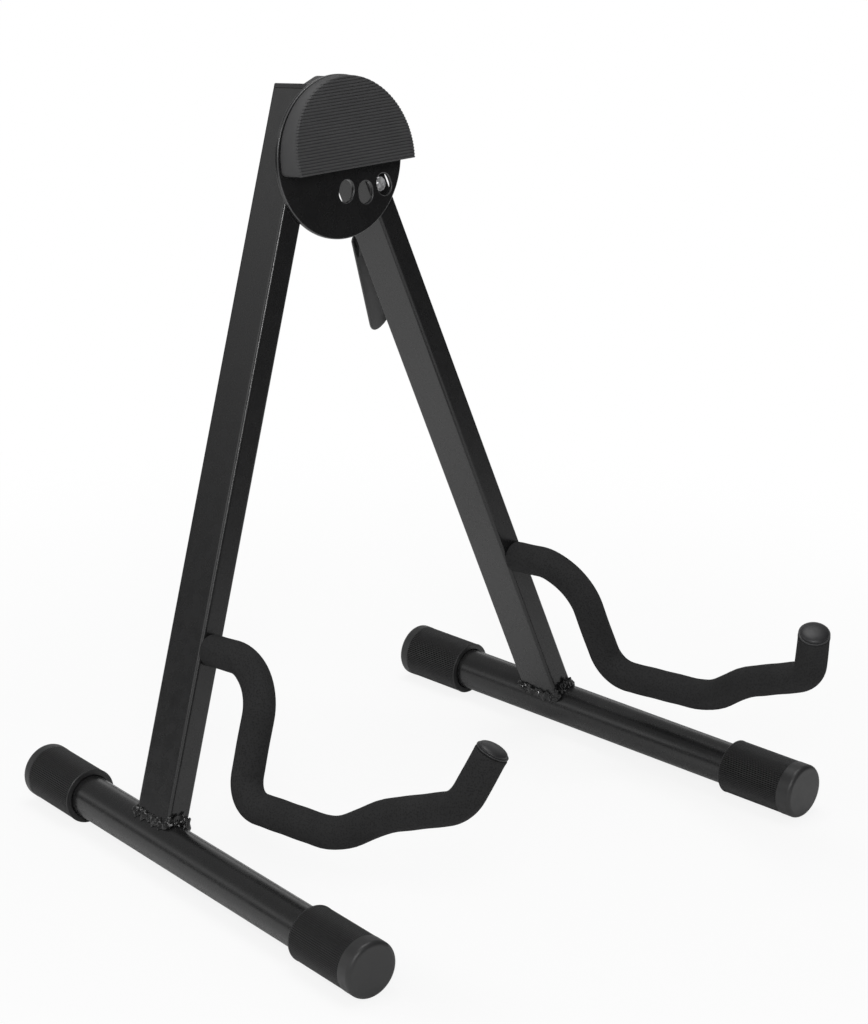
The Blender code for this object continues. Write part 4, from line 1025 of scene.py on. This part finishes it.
centre = LEFT_LEG.inverted() @ on_plate.translation
for side_sign, name in ((-1, "outer"), (1, "inner")):
    edge = side_sign * (LEG_WIDTH / 2 + PLATE_WELD) - centre.x
    half = sqrt(PLATE_RADIUS ** 2 - edge ** 2)
    low = centre.z - half + PLATE_WELD
    high = min(centre.z + half, LEG_LENGTH) - PLATE_WELD
    steps = ceil((high - low) / BEAD_STEP)
    rings = []
    for k in range(steps + 1):
        height = low + (high - low) * k / steps
        taper = min(1.0, (height - low) / PLATE_WELD, (high - height) / PLATE_WELD)
        size = PLATE_WELD_END + (PLATE_WELD - PLATE_WELD_END) * taper
        ring = []
        for offset, lift in bead_section(size, size):
            lump = lumpiness(Vector((side_sign * LEG_WIDTH, lift - offset, height)))
            ring.append((side_sign * (LEG_WIDTH / 2 + CLEARANCE + offset * min(lump, WIDEST_LUMP)),
                         CLEARANCE + min(lift * lump, PLATE_WELD) - LEG_FRONT, height))
        rings.append(ring)
    place("disc_weld_" + name, skin(rings), LEFT_LEG, "powder_coat", "left_side", "pooled_coat")

# %% [markdown]
# ## The back pad
# The pad is a thick rubber segment of a circle. Its face leans back a little and
# is moulded with fine level ribs, which are what the instrument touches. Its
# sides swell toward the plate, as a moulding's do to leave its mould. The face
# is drawn as a fine sheet of rows, one above the other. Each point's depth is
# the leaning face, less the rib's groove, less the soft edge near the outline,
# so the ribs are real shape and still show from the side.

# %% The ribbed rubber pad
PAD_BACK = PLATE_FRONT + CLEARANCE
PAD_RADIUS = 0.0441
PAD_FACE_SHIFT = 0.0007
PAD_CHORD_BELOW = 0.0079
PAD_BOTTOM_THICKNESS = 0.0127
PAD_TAPER = 0.15
PAD_RIB_PITCH = 0.00175
PAD_RIB_CREST = 0.0009
PAD_RIB_DEPTH = 0.0006
PAD_EDGE = 0.0008
PAD_ROW_STEP = 0.000175
PAD_TOP_GAP = 0.00002
PAD_BACK_RADIUS = 0.0454
PAD_BACK_SHIFT = (-0.0023, -0.0008)
PAD_BACK_CORNER = 0.003
SIDE_SHARES = (0.0, 0.2, 0.4, 0.6, 0.75, 0.87, 0.95)
SIDE_CURVE = 2.2
EDGE_BANDS = (0.0, 0.00012, 0.0003, 0.0005, 0.0008)
BANDS_SHARE = 0.4
MIDDLE_COLUMNS = 14


def pad_half_width(up):
    """Half the pad's width at a height above the middle of its circle."""
    return sqrt(max(PAD_RADIUS ** 2 - up ** 2, 0.0))


def pad_face(x, up, ribbed=True):
    """How far forward the pad's face is at a point, with or without its ribs."""
    rise = up + PAD_CHORD_BELOW
    along = (rise / PAD_RIB_PITCH) % 1
    crest = PAD_RIB_CREST / PAD_RIB_PITCH
    in_groove = ribbed and along > crest
    groove = sin(pi * (along - crest) / (1 - crest)) ** 2 if in_groove else 0.0
    to_edge = min(PAD_RADIUS - sqrt(x * x + up * up), rise)
    into_round = max(0.0, PAD_EDGE - to_edge)
    softened = PAD_EDGE - sqrt(max(PAD_EDGE ** 2 - into_round ** 2, 0.0))
    return (PAD_BACK + PAD_BOTTOM_THICKNESS - PAD_TAPER * rise
            - PAD_RIB_DEPTH * groove - softened)


def pad_columns(half):
    """Places across one row: close together near both edges, even between them."""
    bands = [min(band, half * BANDS_SHARE * (k + 1) / len(EDGE_BANDS)) if k else 0.0
             for k, band in enumerate(EDGE_BANDS)]
    inner = half - bands[-1]
    middle = [inner * (2 * k / MIDDLE_COLUMNS - 1) for k in range(1, MIDDLE_COLUMNS)]
    return [band - half for band in bands] + middle + [half - band for band in bands[::-1]]


def pad_side(up, side_sign, top):
    """Points up one side of the pad, from its wider back to just short of its face's edge."""
    rise = up + PAD_CHORD_BELOW
    back_top = PAD_BACK_RADIUS + PAD_BACK_SHIFT[1] - PAD_TOP_GAP
    back_up = rise * (back_top + PAD_CHORD_BELOW) / (top + PAD_CHORD_BELOW) - PAD_CHORD_BELOW
    half = sqrt(PAD_BACK_RADIUS ** 2 - (back_up - PAD_BACK_SHIFT[1]) ** 2)
    into_corner = max(0.0, 1 - rise / PAD_BACK_CORNER)
    half -= PAD_BACK_CORNER * (1 - sqrt(1 - into_corner ** 2))
    start = Vector((PAD_BACK_SHIFT[0] + side_sign * half, back_up, PAD_BACK))
    edge = side_sign * pad_half_width(up)
    end = Vector((edge, up, pad_face(edge, up, ribbed=False)))
    points = []
    for share in SIDE_SHARES:
        point = start.lerp(end, share ** SIDE_CURVE)
        point.z = start.z + (end.z - start.z) * share
        points.append(point)
    return points


def rubber_pad():
    """The pad as rows of points over its face, joined down its sides to a flat back."""
    top = PAD_RADIUS - PAD_TOP_GAP
    rows = ceil((top + PAD_CHORD_BELOW) / PAD_ROW_STEP)
    heights = [min(band - PAD_CHORD_BELOW, 0) for band in EDGE_BANDS]
    heights += [k * PAD_ROW_STEP - PAD_CHORD_BELOW for k in range(1, rows)
                if k * PAD_ROW_STEP > EDGE_BANDS[-1]] + [top]
    bm = bmesh.new()
    loops = []
    for up in heights:
        face = [Vector((x, up, pad_face(x, up))) for x in pad_columns(pad_half_width(up))]
        loop = pad_side(up, -1, top) + face + pad_side(up, 1, top)[::-1]
        loops.append([bm.verts.new(point) for point in loop])
    for low, high in zip(loops, loops[1:]):
        for c in range(len(low)):
            after = (c + 1) % len(low)
            bm.faces.new((low[c], low[after], high[after], high[c]))
    bm.faces.new(loops[0])
    bm.faces.new(loops[-1])
    bmesh.ops.recalc_face_normals(bm, faces=bm.faces)
    return bm


pad_right = PAD_RIGHT_OF_PLATE + PAD_FACE_SHIFT
on_pad = on_plate @ Matrix.Translation((pad_right, PAD_ABOVE_PLATE, 0))
pad = place("back_pad", rubber_pad(), on_pad, "pad_rubber", "left_side")

# %% [markdown]
# ### The pad's screws
# Two pan-head screws hold the pad from behind the plate. A head is a shallow
# dome with a cross-shaped recess, cut by two crossed wedges.

# %% The two screws
SCREW_HEAD_RADIUS = 0.0035
SCREW_HEAD_HEIGHT = 0.0019
SCREW_HEAD_BEVEL = 0.0010
SCREW_POINT = 0.0006
SCREW_LENGTH = 0.0080
RECESS_WIDTH = 0.0007
RECESS_REACH = 0.0017
RECESS_DEPTH = 0.0011
RECESS_TURNS = {"left": radians(25), "right": radians(70)}
SCREW_HEAD_STEPS = 9

head_front = PLATE_BACK - CLEARANCE
head_back = head_front - SCREW_HEAD_HEIGHT
screw_end = PLATE_BACK + SCREW_LENGTH
screw = [(SCREW_POINT, screw_end), (SCREW_RADIUS, screw_end - SCREW_RADIUS),
         (SCREW_RADIUS, head_front), (SCREW_HEAD_RADIUS, head_front)]
screw += [(SCREW_HEAD_RADIUS - inset, head_back + drop) for inset, drop
          in quarter_round(SCREW_HEAD_BEVEL, SCREW_HEAD_STEPS)[:-1]]
screw.append((SCREW_HEAD_RADIUS / 2, head_back))


def recess_wedge(turn):
    """One arm of the cross recess, narrower at its bottom."""
    rings = []
    for height, reach in ((head_back - CLEARANCE, RECESS_REACH),
                          (head_back + RECESS_DEPTH, RECESS_REACH / 2)):
        corners = ((reach, RECESS_WIDTH / 2), (-reach, RECESS_WIDTH / 2),
                   (-reach, -RECESS_WIDTH / 2), (reach, -RECESS_WIDTH / 2))
        rings.append([(x * cos(turn) - y * sin(turn), x * sin(turn) + y * cos(turn), height)
                      for x, y in corners])
    return skin(rings), "DIFFERENCE"


for seat, (side, turned) in zip(SCREW_SEATS, RECESS_TURNS.items()):
    wedges = [recess_wedge(turned), recess_wedge(turned + pi / 2)]
    shape = carve(lathe(screw, TINY_SIDES), wedges)
    place("pad_screw_" + side, shape, on_plate @ seat, "zinc_steel", "left_side")

# %% [markdown]
# ## The fold bolt
# The right leg swings on a bolt between two washers, held by a lock nut behind
# the leg. The nut's hexagon is trimmed by a cone at each end, which gives the
# curved corners of a real nut: each point's radius is the smaller of the two.
# The bolt's end has its thread, one groove that climbs a pitch each turn.

# %% Bolt, washers and nut
PIVOT_HEAD_RADIUS = 0.008
PIVOT_HEAD_HEIGHT = 0.003
PIVOT_HEAD_CROWN = 0.002
BOLT_CHAMFER = 0.0006
BOLT_END_PROUD = 0.0014
WASHER_RADIUS = 0.008
WASHER_EDGE = 0.0002
REAR_WASHER_THICKNESS = 0.0015
NUT_ACROSS_FLATS = 0.013
NUT_HEIGHT = 0.0062
NUT_COLLAR = 0.0016
NUT_COLLAR_INSET = 0.00065
NUT_COLLAR_EDGE = 0.0007
NUT_CONE = radians(30)
NUT_SIDES = 144
THREAD_PITCH = 0.00125
THREAD_DEPTH = 0.0006
THREAD_STEPS = 10
NUT_CHAMFER_STEPS = 5
NUT_COLLAR_STEPS = 6

rear = -LEG_FRONT
head_under = LEG_FRONT + WASHER_GAP + PLATE_THICKNESS + CLEARANCE
nut_front = rear - REAR_WASHER_THICKNESS - 2 * CLEARANCE
nut_rear = nut_front - NUT_HEIGHT
bolt_end = nut_rear - NUT_COLLAR - BOLT_END_PROUD
thread_end = nut_rear - NUT_COLLAR + CLEARANCE


def shaped_ring(height, sides, radius_at):
    """A ring of points whose radius depends on its direction."""
    turns = [2 * pi * k / sides for k in range(sides)]
    return [(radius_at(turn) * cos(turn), radius_at(turn) * sin(turn), height) for turn in turns]


def plain_ring(height, sides, radius):
    """A round ring with its points in the same directions as a shaped one."""
    return shaped_ring(height, sides, lambda turn: radius)


def thread_ring(height):
    """A ring of the bolt's thread at a height, shallower toward the end's chamfer."""
    fade = min(1.0, (height - bolt_end) / BOLT_CHAMFER)
    crest = PIVOT_RADIUS - BOLT_CHAMFER * (1 - fade)

    def thread_radius(turn):
        climbed = (height - bolt_end) / THREAD_PITCH - turn / (2 * pi)
        return crest - THREAD_DEPTH * fade * abs(2 * (climbed % 1) - 1)

    return shaped_ring(height, SMALL_SIDES, thread_radius)


thread_rows = THREAD_STEPS * ceil((thread_end - bolt_end) / THREAD_PITCH)
bolt_rings = [thread_ring(bolt_end + (thread_end - bolt_end) * k / thread_rows)
              for k in range(thread_rows + 1)]
bolt_profile = [(PIVOT_RADIUS, thread_end), (PIVOT_RADIUS, head_under),
                (PIVOT_HEAD_RADIUS, head_under)]
bolt_profile += round_edge(PIVOT_HEAD_RADIUS, head_under + PIVOT_HEAD_HEIGHT, PIVOT_HEAD_CROWN)
bolt_rings += [plain_ring(height, SMALL_SIDES, radius) for radius, height in bolt_profile]
place("pivot_bolt", skin(bolt_rings), PIVOT @ FORWARD, "zinc_steel", "left_side")

bore = PIVOT_RADIUS + CLEARANCE
for name, low, thickness in (
        ("front_washer", LEG_FRONT + CLEARANCE, FRONT_WASHER_THICKNESS),
        ("rear_washer", rear - CLEARANCE - REAR_WASHER_THICKNESS, REAR_WASHER_THICKNESS)):
    upper = round_edge(WASHER_RADIUS, low + thickness, WASHER_EDGE)
    lower = [(radius, 2 * low + thickness - height) for radius, height in upper[::-1]]
    inside = [(bore, low + thickness), (bore, low)]
    washer = lathe(lower + upper + inside, SMALL_SIDES, closed=True)
    place(name, washer, PIVOT @ FORWARD, "zinc_steel", "left_side")


def nut_ring(height):
    """A ring of the nut's hexagon, trimmed by the cones at its two faces."""
    flat = NUT_ACROSS_FLATS / 2
    cone = flat + min(height - nut_rear, nut_front - height) / tan(NUT_CONE)
    return shaped_ring(height, NUT_SIDES,
                       lambda turn: min(flat / cos(turn % (pi / 3) - pi / 6), cone))


collar = NUT_ACROSS_FLATS / 2 - NUT_COLLAR_INSET
collar_rear = nut_rear - NUT_COLLAR
chamfer = [BOLT_CHAMFER * k / NUT_CHAMFER_STEPS for k in range(NUT_CHAMFER_STEPS + 1)]
nut_rings = [plain_ring(nut_front, NUT_SIDES, bore)]
nut_rings += [nut_ring(nut_front - step) for step in chamfer]
nut_rings += [nut_ring(nut_rear + step) for step in chamfer[::-1]]
nut_rings.append(plain_ring(nut_rear, NUT_SIDES, collar))
nut_rings += [plain_ring(nut_rear - height, NUT_SIDES, radius) for radius, height
              in round_edge(collar, NUT_COLLAR, NUT_COLLAR_EDGE, NUT_COLLAR_STEPS)]
nut_rings.append(plain_ring(collar_rear, NUT_SIDES, bore))
place("pivot_nut", skin(nut_rings, closed=True), PIVOT @ FORWARD, "zinc_steel", "left_side")

# %% [markdown]
# ## The index pin
# The pin that locks the fold is turned from bright steel: a thick nose that
# drops into a slot, a collar that the lever draws back, and a thin tail through
# the leg's rear wall. It is stored drawn, with its nose just behind the plate,
# so that the leg is free to fold.

# %% The turned pin
PIN_COLLAR_RADIUS = 0.0054
PIN_COLLAR_THICKNESS = 0.0012
PIN_COLLAR_FORWARD = 0.0005
PIN_SHOULDER_FORWARD = 0.005
PIN_TAIL_PROUD = 0.006
PIN_NOSE_ROUND = 0.001
PIN_NOSE_STEPS = 6
PIN_TAIL_ROUND = 0.0006
PIN_TIP_FORWARD = LEG_FRONT + WASHER_GAP - CLEARANCE

tail = -LEG_FRONT - PIN_TAIL_PROUD
collar_back = PIN_COLLAR_FORWARD - PIN_COLLAR_THICKNESS
tail_round = [(radius, 2 * tail - height) for radius, height
              in round_edge(PIN_STEM_RADIUS, tail, PIN_TAIL_ROUND)[::-1]]
pin = [(PIN_STEM_RADIUS / 3, tail)] + tail_round + [
    (PIN_STEM_RADIUS, collar_back), (PIN_COLLAR_RADIUS, collar_back),
    (PIN_COLLAR_RADIUS, PIN_COLLAR_FORWARD), (PIN_STEM_RADIUS, PIN_COLLAR_FORWARD),
    (PIN_STEM_RADIUS, PIN_SHOULDER_FORWARD), (PIN_TIP_RADIUS, PIN_SHOULDER_FORWARD)]
pin += round_edge(PIN_TIP_RADIUS, PIN_TIP_FORWARD, PIN_NOSE_ROUND, PIN_NOSE_STEPS)
pin.append((PIN_TIP_RADIUS / 3, PIN_TIP_FORWARD))
place("index_pin", lathe(pin), INDEX_AXIS @ FORWARD, "bright_steel", "plunger")

# %% [markdown]
# ## The squeeze lever
# Behind the leg hangs a pressed steel tongue, a shallow gutter with a half-round
# end, that two fingers squeeze. Its two cheeks run through the leg's slot, turn
# on a pin and draw the index pin back by its collar. The tongue is a sheet
# swept down its length, and the cheeks are flat outlines joined to it. It takes
# a lighter coat: painted light, for the light that its front catches.

# %% The tongue and its cheeks
LEVER_WIDTH = 0.016
LEVER_SHOULDER = 0.0048
LEVER_TILT = radians(13.3)
LEVER_TOP_DROP = 0.005
LEVER_TOP_BACK = 0.0113
LEVER_LENGTH = 0.0735
LEVER_GUTTER = 0.0022
GUTTER_RUN = 0.030
SHEET_EDGE = 0.0003
TONGUE_COLUMNS = 12
SHOULDER_STEPS = 8
TIP_DEGREES = range(0, 85, 6)
CHEEK_START = 0.0015
CHEEK_LENGTH = 0.017
CHEEK_TOE = 0.0012
CHEEK_HEEL = (0.0090, -0.0103)
CHEEK_BOSS = 0.0042
BOSS_REAR = (20, 100)
BOSS_FRONT = (190, 280)
KNEE_UP = 0.0132
FINGER_BELOW = 0.0065
FINGER_ABOVE = 0.0038
FINGER_NICK = 0.0006
CHEEK_SEAT = LEVER_TOP_BACK + 2 * CLEARANCE
CHEEK_TOP = -LEVER_TOP_DROP - CHEEK_START
CHEEK_END = (CHEEK_SEAT + CHEEK_LENGTH * tan(LEVER_TILT), CHEEK_TOP - CHEEK_LENGTH)


def tongue():
    """The pressed tongue, top to tip, a gutter open to the front with rounded edges."""
    half = LEVER_WIDTH / 2
    stations = [(0, CHEEK_OUTSIDE)]
    for k in range(1, SHOULDER_STEPS + 1):
        share = k / SHOULDER_STEPS
        stations.append((LEVER_SHOULDER + (half - LEVER_SHOULDER) * share,
                         CHEEK_OUTSIDE + (half - CHEEK_OUTSIDE) * sin(pi / 2 * share)))
    for degree in TIP_DEGREES:
        turn = radians(degree)
        stations.append((LEVER_LENGTH - half + half * sin(turn), half * cos(turn)))
    down = Vector((0, sin(LEVER_TILT), -cos(LEVER_TILT)))
    ahead = Vector((0, -cos(LEVER_TILT), -sin(LEVER_TILT)))
    top = Vector((0, LEVER_TOP_BACK, -LEVER_TOP_DROP))
    rings = []
    for distance, width in stations:
        front, behind = [], []
        for k in range(TONGUE_COLUMNS + 1):
            share = sin(pi / 2 * (2 * k / TONGUE_COLUMNS - 1))
            x = width * share
            dish = LEVER_GUTTER * min(1.0, distance / GUTTER_RUN) * (x / half) ** 2
            near_edge = max(0.0, SHEET_EDGE - (width - abs(x)))
            thin = SHEET_EDGE - sqrt(max(SHEET_EDGE ** 2 - near_edge ** 2, 0.0))
            point = top + down * distance + ahead * dish + Vector((x, 0, 0))
            front.append(point - ahead * thin)
            behind.append(point - ahead * (LEVER_SHEET - thin))
        rings.append([tuple(p) for p in front + behind[::-1]])
    return skin(rings)


def boss_arc(start, end, step=10):
    """Points round the cheek's boss between two directions, in degrees."""
    count = round(abs(end - start) / step)
    turns = [radians(start + (end - start) * k / count) for k in range(count + 1)]
    return [(CHEEK_BOSS * cos(turn), CHEEK_BOSS * sin(turn)) for turn in turns]


def cheek(side_sign):
    """One cheek about the lever's pin, with its boss and the finger up to the pin's collar."""
    index = LEVER_PIN_BELOW_INDEX
    back_edge = LEVER_PIN_FORWARD - PIN_COLLAR_FORWARD - 3 * CLEARANCE
    front_edge = LEVER_PIN_FORWARD - PIN_SHOULDER_FORWARD + 4 * CLEARANCE
    top = index + FINGER_ABOVE + FINGER_NICK
    outline = [CHEEK_END, (CHEEK_SEAT, CHEEK_TOP)] + boss_arc(*BOSS_REAR) + [
        (-CHEEK_BOSS / 2, KNEE_UP), (back_edge - FINGER_NICK, index - FINGER_BELOW),
        (back_edge, index), (back_edge - FINGER_NICK, index + FINGER_ABOVE),
        (back_edge - 2 * FINGER_NICK, top), (front_edge + FINGER_NICK, top),
        (front_edge, index + FINGER_ABOVE), (front_edge, index - FINGER_BELOW),
        (-CHEEK_BOSS - FINGER_NICK, KNEE_UP / 2)] + boss_arc(*BOSS_FRONT) + [
        CHEEK_HEEL, (CHEEK_END[0] - CHEEK_TOE, CHEEK_END[1])]
    rings = [[(side_sign * x, y, z) for y, z in outline] for x in (CHEEK_INSIDE, CHEEK_OUTSIDE)]
    return skin(rings), "UNION"


LEVER_AXIS = RIGHT_LEG @ at_lever
lever = carve(tongue(), [cheek(-1), cheek(1),
                         cutter(LEVER_PIN_RADIUS + CLEARANCE, -LEG_WIDTH, LEG_WIDTH, SIDEWAYS)])
# The whole lever takes the lighter coat, which is painted light.
place("lock_lever", lever, LEVER_AXIS, "powder_coat", "lever", "lever_painted_light_coat")

# %% The lever's pin
LEVER_PIN_ROUND = 0.0003

right_end = round_edge(LEVER_PIN_RADIUS, LEG_WIDTH / 2, LEVER_PIN_ROUND)
left_end = [(radius, -height) for radius, height in right_end[::-1]]
place("lever_pin", lathe(left_end + right_end, TINY_SIDES), LEVER_AXIS @ SIDEWAYS, "zinc_steel",
      "right_side")

# %% [markdown]
# ## Hidden steel
# The rods inside the foam and the spring inside the leg already have their true
# shape in the frame, and nothing of them shows but an end. They keep their
# nodes and only take the zinc finish.

# %% Finish the pieces that stay as they are
for node in ("left_yoke_rod", "right_yoke_rod", "pin_spring"):
    obj = frame["nodes"][node]
    for material_slot in obj.material_slots:
        material_slot.material = FINISH["zinc_steel"]
    obj.data.shade_smooth()
    print(node, "in", FINISH["zinc_steel"].name)

# %% [markdown]
# ## Floor and background
# The stand is shown on white. The floor is a real pale surface that takes the
# stand's shadow. For the camera it also glows almost as white as the world
# behind it, and fully so away from the stand. Farther out it fades to grey for
# reflections, as a studio floor does at the edge of the light, so the satin
# tubes get dark and light ends.

# %% The floor
FLOOR_SIZE = 12.0
FLOOR_SQUARES = 8
FLOOR_ROUGHNESS = 0.9
PALE = 0.85
REFLECTED_PALE = 0.97
DIM = 0.15
LIT_RADIUS = 0.6
DARK_RADIUS = 2.0
NEAR_GLOW = 0.86
NEAR_RADIUS = 0.25
SHADOW_RADIUS = 0.75

bpy.ops.mesh.primitive_grid_add(x_subdivisions=FLOOR_SQUARES, y_subdivisions=FLOOR_SQUARES,
                                size=FLOOR_SIZE)
floor = bpy.context.object
floor.name = "studio_floor"

material = bpy.data.materials.new("pale_floor")
material.use_nodes = True
tree = material.node_tree
shader = tree.nodes["Principled BSDF"]
shader.inputs["Roughness"].default_value = FLOOR_ROUGHNESS
shader.inputs["Specular IOR Level"].default_value = 0.0
where = tree.nodes.new("ShaderNodeTexCoord").outputs["Object"]
away = tree.nodes.new("ShaderNodeVectorMath")
away.operation = "LENGTH"
tree.links.new(where, away.inputs[0])
seen_by = tree.nodes.new("ShaderNodeLightPath")
fade = ramp_node(tree, away.outputs["Value"], LIT_RADIUS, DARK_RADIUS, REFLECTED_PALE, DIM)
tone = tree.nodes.new("ShaderNodeMix")
tree.links.new(seen_by.outputs["Is Glossy Ray"], tone.inputs["Factor"])
tone.inputs["A"].default_value = PALE
tree.links.new(fade, tone.inputs["B"])
tree.links.new(tone.outputs["Result"], shader.inputs["Base Color"])
glow = tree.nodes.new("ShaderNodeEmission")
blend = tree.nodes.new("ShaderNodeMixShader")
glowing = ramp_node(tree, away.outputs["Value"], NEAR_RADIUS, SHADOW_RADIUS, NEAR_GLOW, 1.0)
share = math_node(tree, "MULTIPLY", seen_by.outputs["Is Camera Ray"], glowing)
tree.links.new(share, blend.inputs["Fac"])
tree.links.new(shader.outputs["BSDF"], blend.inputs[1])
tree.links.new(glow.outputs["Emission"], blend.inputs[2])
tree.links.new(blend.outputs["Shader"], tree.nodes["Material Output"].inputs["Surface"])
floor.data.materials.append(material)
print("floor %.0f m across" % FLOOR_SIZE)

# %% [markdown]
# ## Light
# A black object is drawn by what it reflects. The world is white to the camera,
# and an even weak fill to matt surfaces. To reflections it is a studio: a pale
# backdrop that is dark at its foot, with a dim room above it and toward the
# front right. A small lamp beside the camera draws the rounded edges, a wide
# one overhead lights the tops, and a weak one on the left keeps the sides of the
# legs from going black.

# %% The world
WORLD_FILL = 0.40
BACKDROP = 1.2
BACKDROP_FOOT = 0.10
ABOVE_BACKDROP = 0.24
BACKDROP_RISE = (0.08, 0.30)
BACKDROP_TOP = (0.28, 0.44)
DIM_ROOM = 0.12
ROOM_TURN = (0.1, 0.8)
FRONT_RIGHT = Vector((0.65, -0.76, 0.0))

world = bpy.data.worlds.new("white_studio")
world.use_nodes = True
bpy.context.scene.world = world
tree = world.node_tree
tree.nodes.clear()
way = tree.nodes.new("ShaderNodeTexCoord").outputs["Generated"]
toward = tree.nodes.new("ShaderNodeVectorMath")
toward.operation = "DOT_PRODUCT"
toward.inputs[1].default_value = FRONT_RIGHT
tree.links.new(way, toward.inputs[0])
height = tree.nodes.new("ShaderNodeSeparateXYZ")
tree.links.new(way, height.inputs["Vector"])
wall = ramp_node(tree, height.outputs["Z"], *BACKDROP_RISE, BACKDROP_FOOT, BACKDROP)
over_wall = ramp_node(tree, height.outputs["Z"], *BACKDROP_TOP, 1.0, ABOVE_BACKDROP)
room_side = ramp_node(tree, toward.outputs["Value"], *ROOM_TURN, 1.0, DIM_ROOM)
room = math_node(tree, "MULTIPLY", math_node(tree, "MULTIPLY", wall, over_wall), room_side)
seen_by = tree.nodes.new("ShaderNodeLightPath")
white = tree.nodes.new("ShaderNodeBackground")
reflected = tree.nodes.new("ShaderNodeBackground")
tree.links.new(room, reflected.inputs["Strength"])
fill = tree.nodes.new("ShaderNodeBackground")
fill.inputs["Strength"].default_value = WORLD_FILL
for background in (white, reflected, fill):
    background.inputs["Color"].default_value = (1, 1, 1, 1)
glossy = tree.nodes.new("ShaderNodeMixShader")
tree.links.new(seen_by.outputs["Is Glossy Ray"], glossy.inputs["Fac"])
tree.links.new(fill.outputs["Background"], glossy.inputs[1])
tree.links.new(reflected.outputs["Background"], glossy.inputs[2])
shown = tree.nodes.new("ShaderNodeMixShader")
clear = math_node(tree, "MAXIMUM", seen_by.outputs["Is Camera Ray"],
                  seen_by.outputs["Is Transmission Ray"])
tree.links.new(clear, shown.inputs["Fac"])
tree.links.new(glossy.outputs["Shader"], shown.inputs[1])
tree.links.new(white.outputs["Background"], shown.inputs[2])
output = tree.nodes.new("ShaderNodeOutputWorld")
tree.links.new(shown.outputs["Shader"], output.inputs["Surface"])
print("world:", world.name)

# %% The lamps
STAND_MIDDLE = Vector((0, 0.05, 0.2))
LAMPS = (
    ("beside_camera", (-1.35, -1.45, 1.35), 0.5, 17.0),
    ("overhead", (0.1, 0.2, 2.0), 1.1, 15.0),
    ("left_side", (-1.8, 0.6, 0.9), 0.9, 3.0),
)

for name, spot, size, power in LAMPS:
    lamp_data = bpy.data.lights.new(name, "AREA")
    lamp_data.shape = "SQUARE"
    lamp_data.size = size
    lamp_data.energy = power
    lamp = bpy.data.objects.new(name, lamp_data)
    lamp.location = spot
    lamp.rotation_mode = "QUATERNION"
    lamp.rotation_quaternion = (STAND_MIDDLE - Vector(spot)).to_track_quat("-Z", "Y")
    bpy.context.scene.collection.objects.link(lamp)
    print(name, "lights the stand with %.0f watts" % power)

bpy.context.scene.view_settings.view_transform = "Standard"
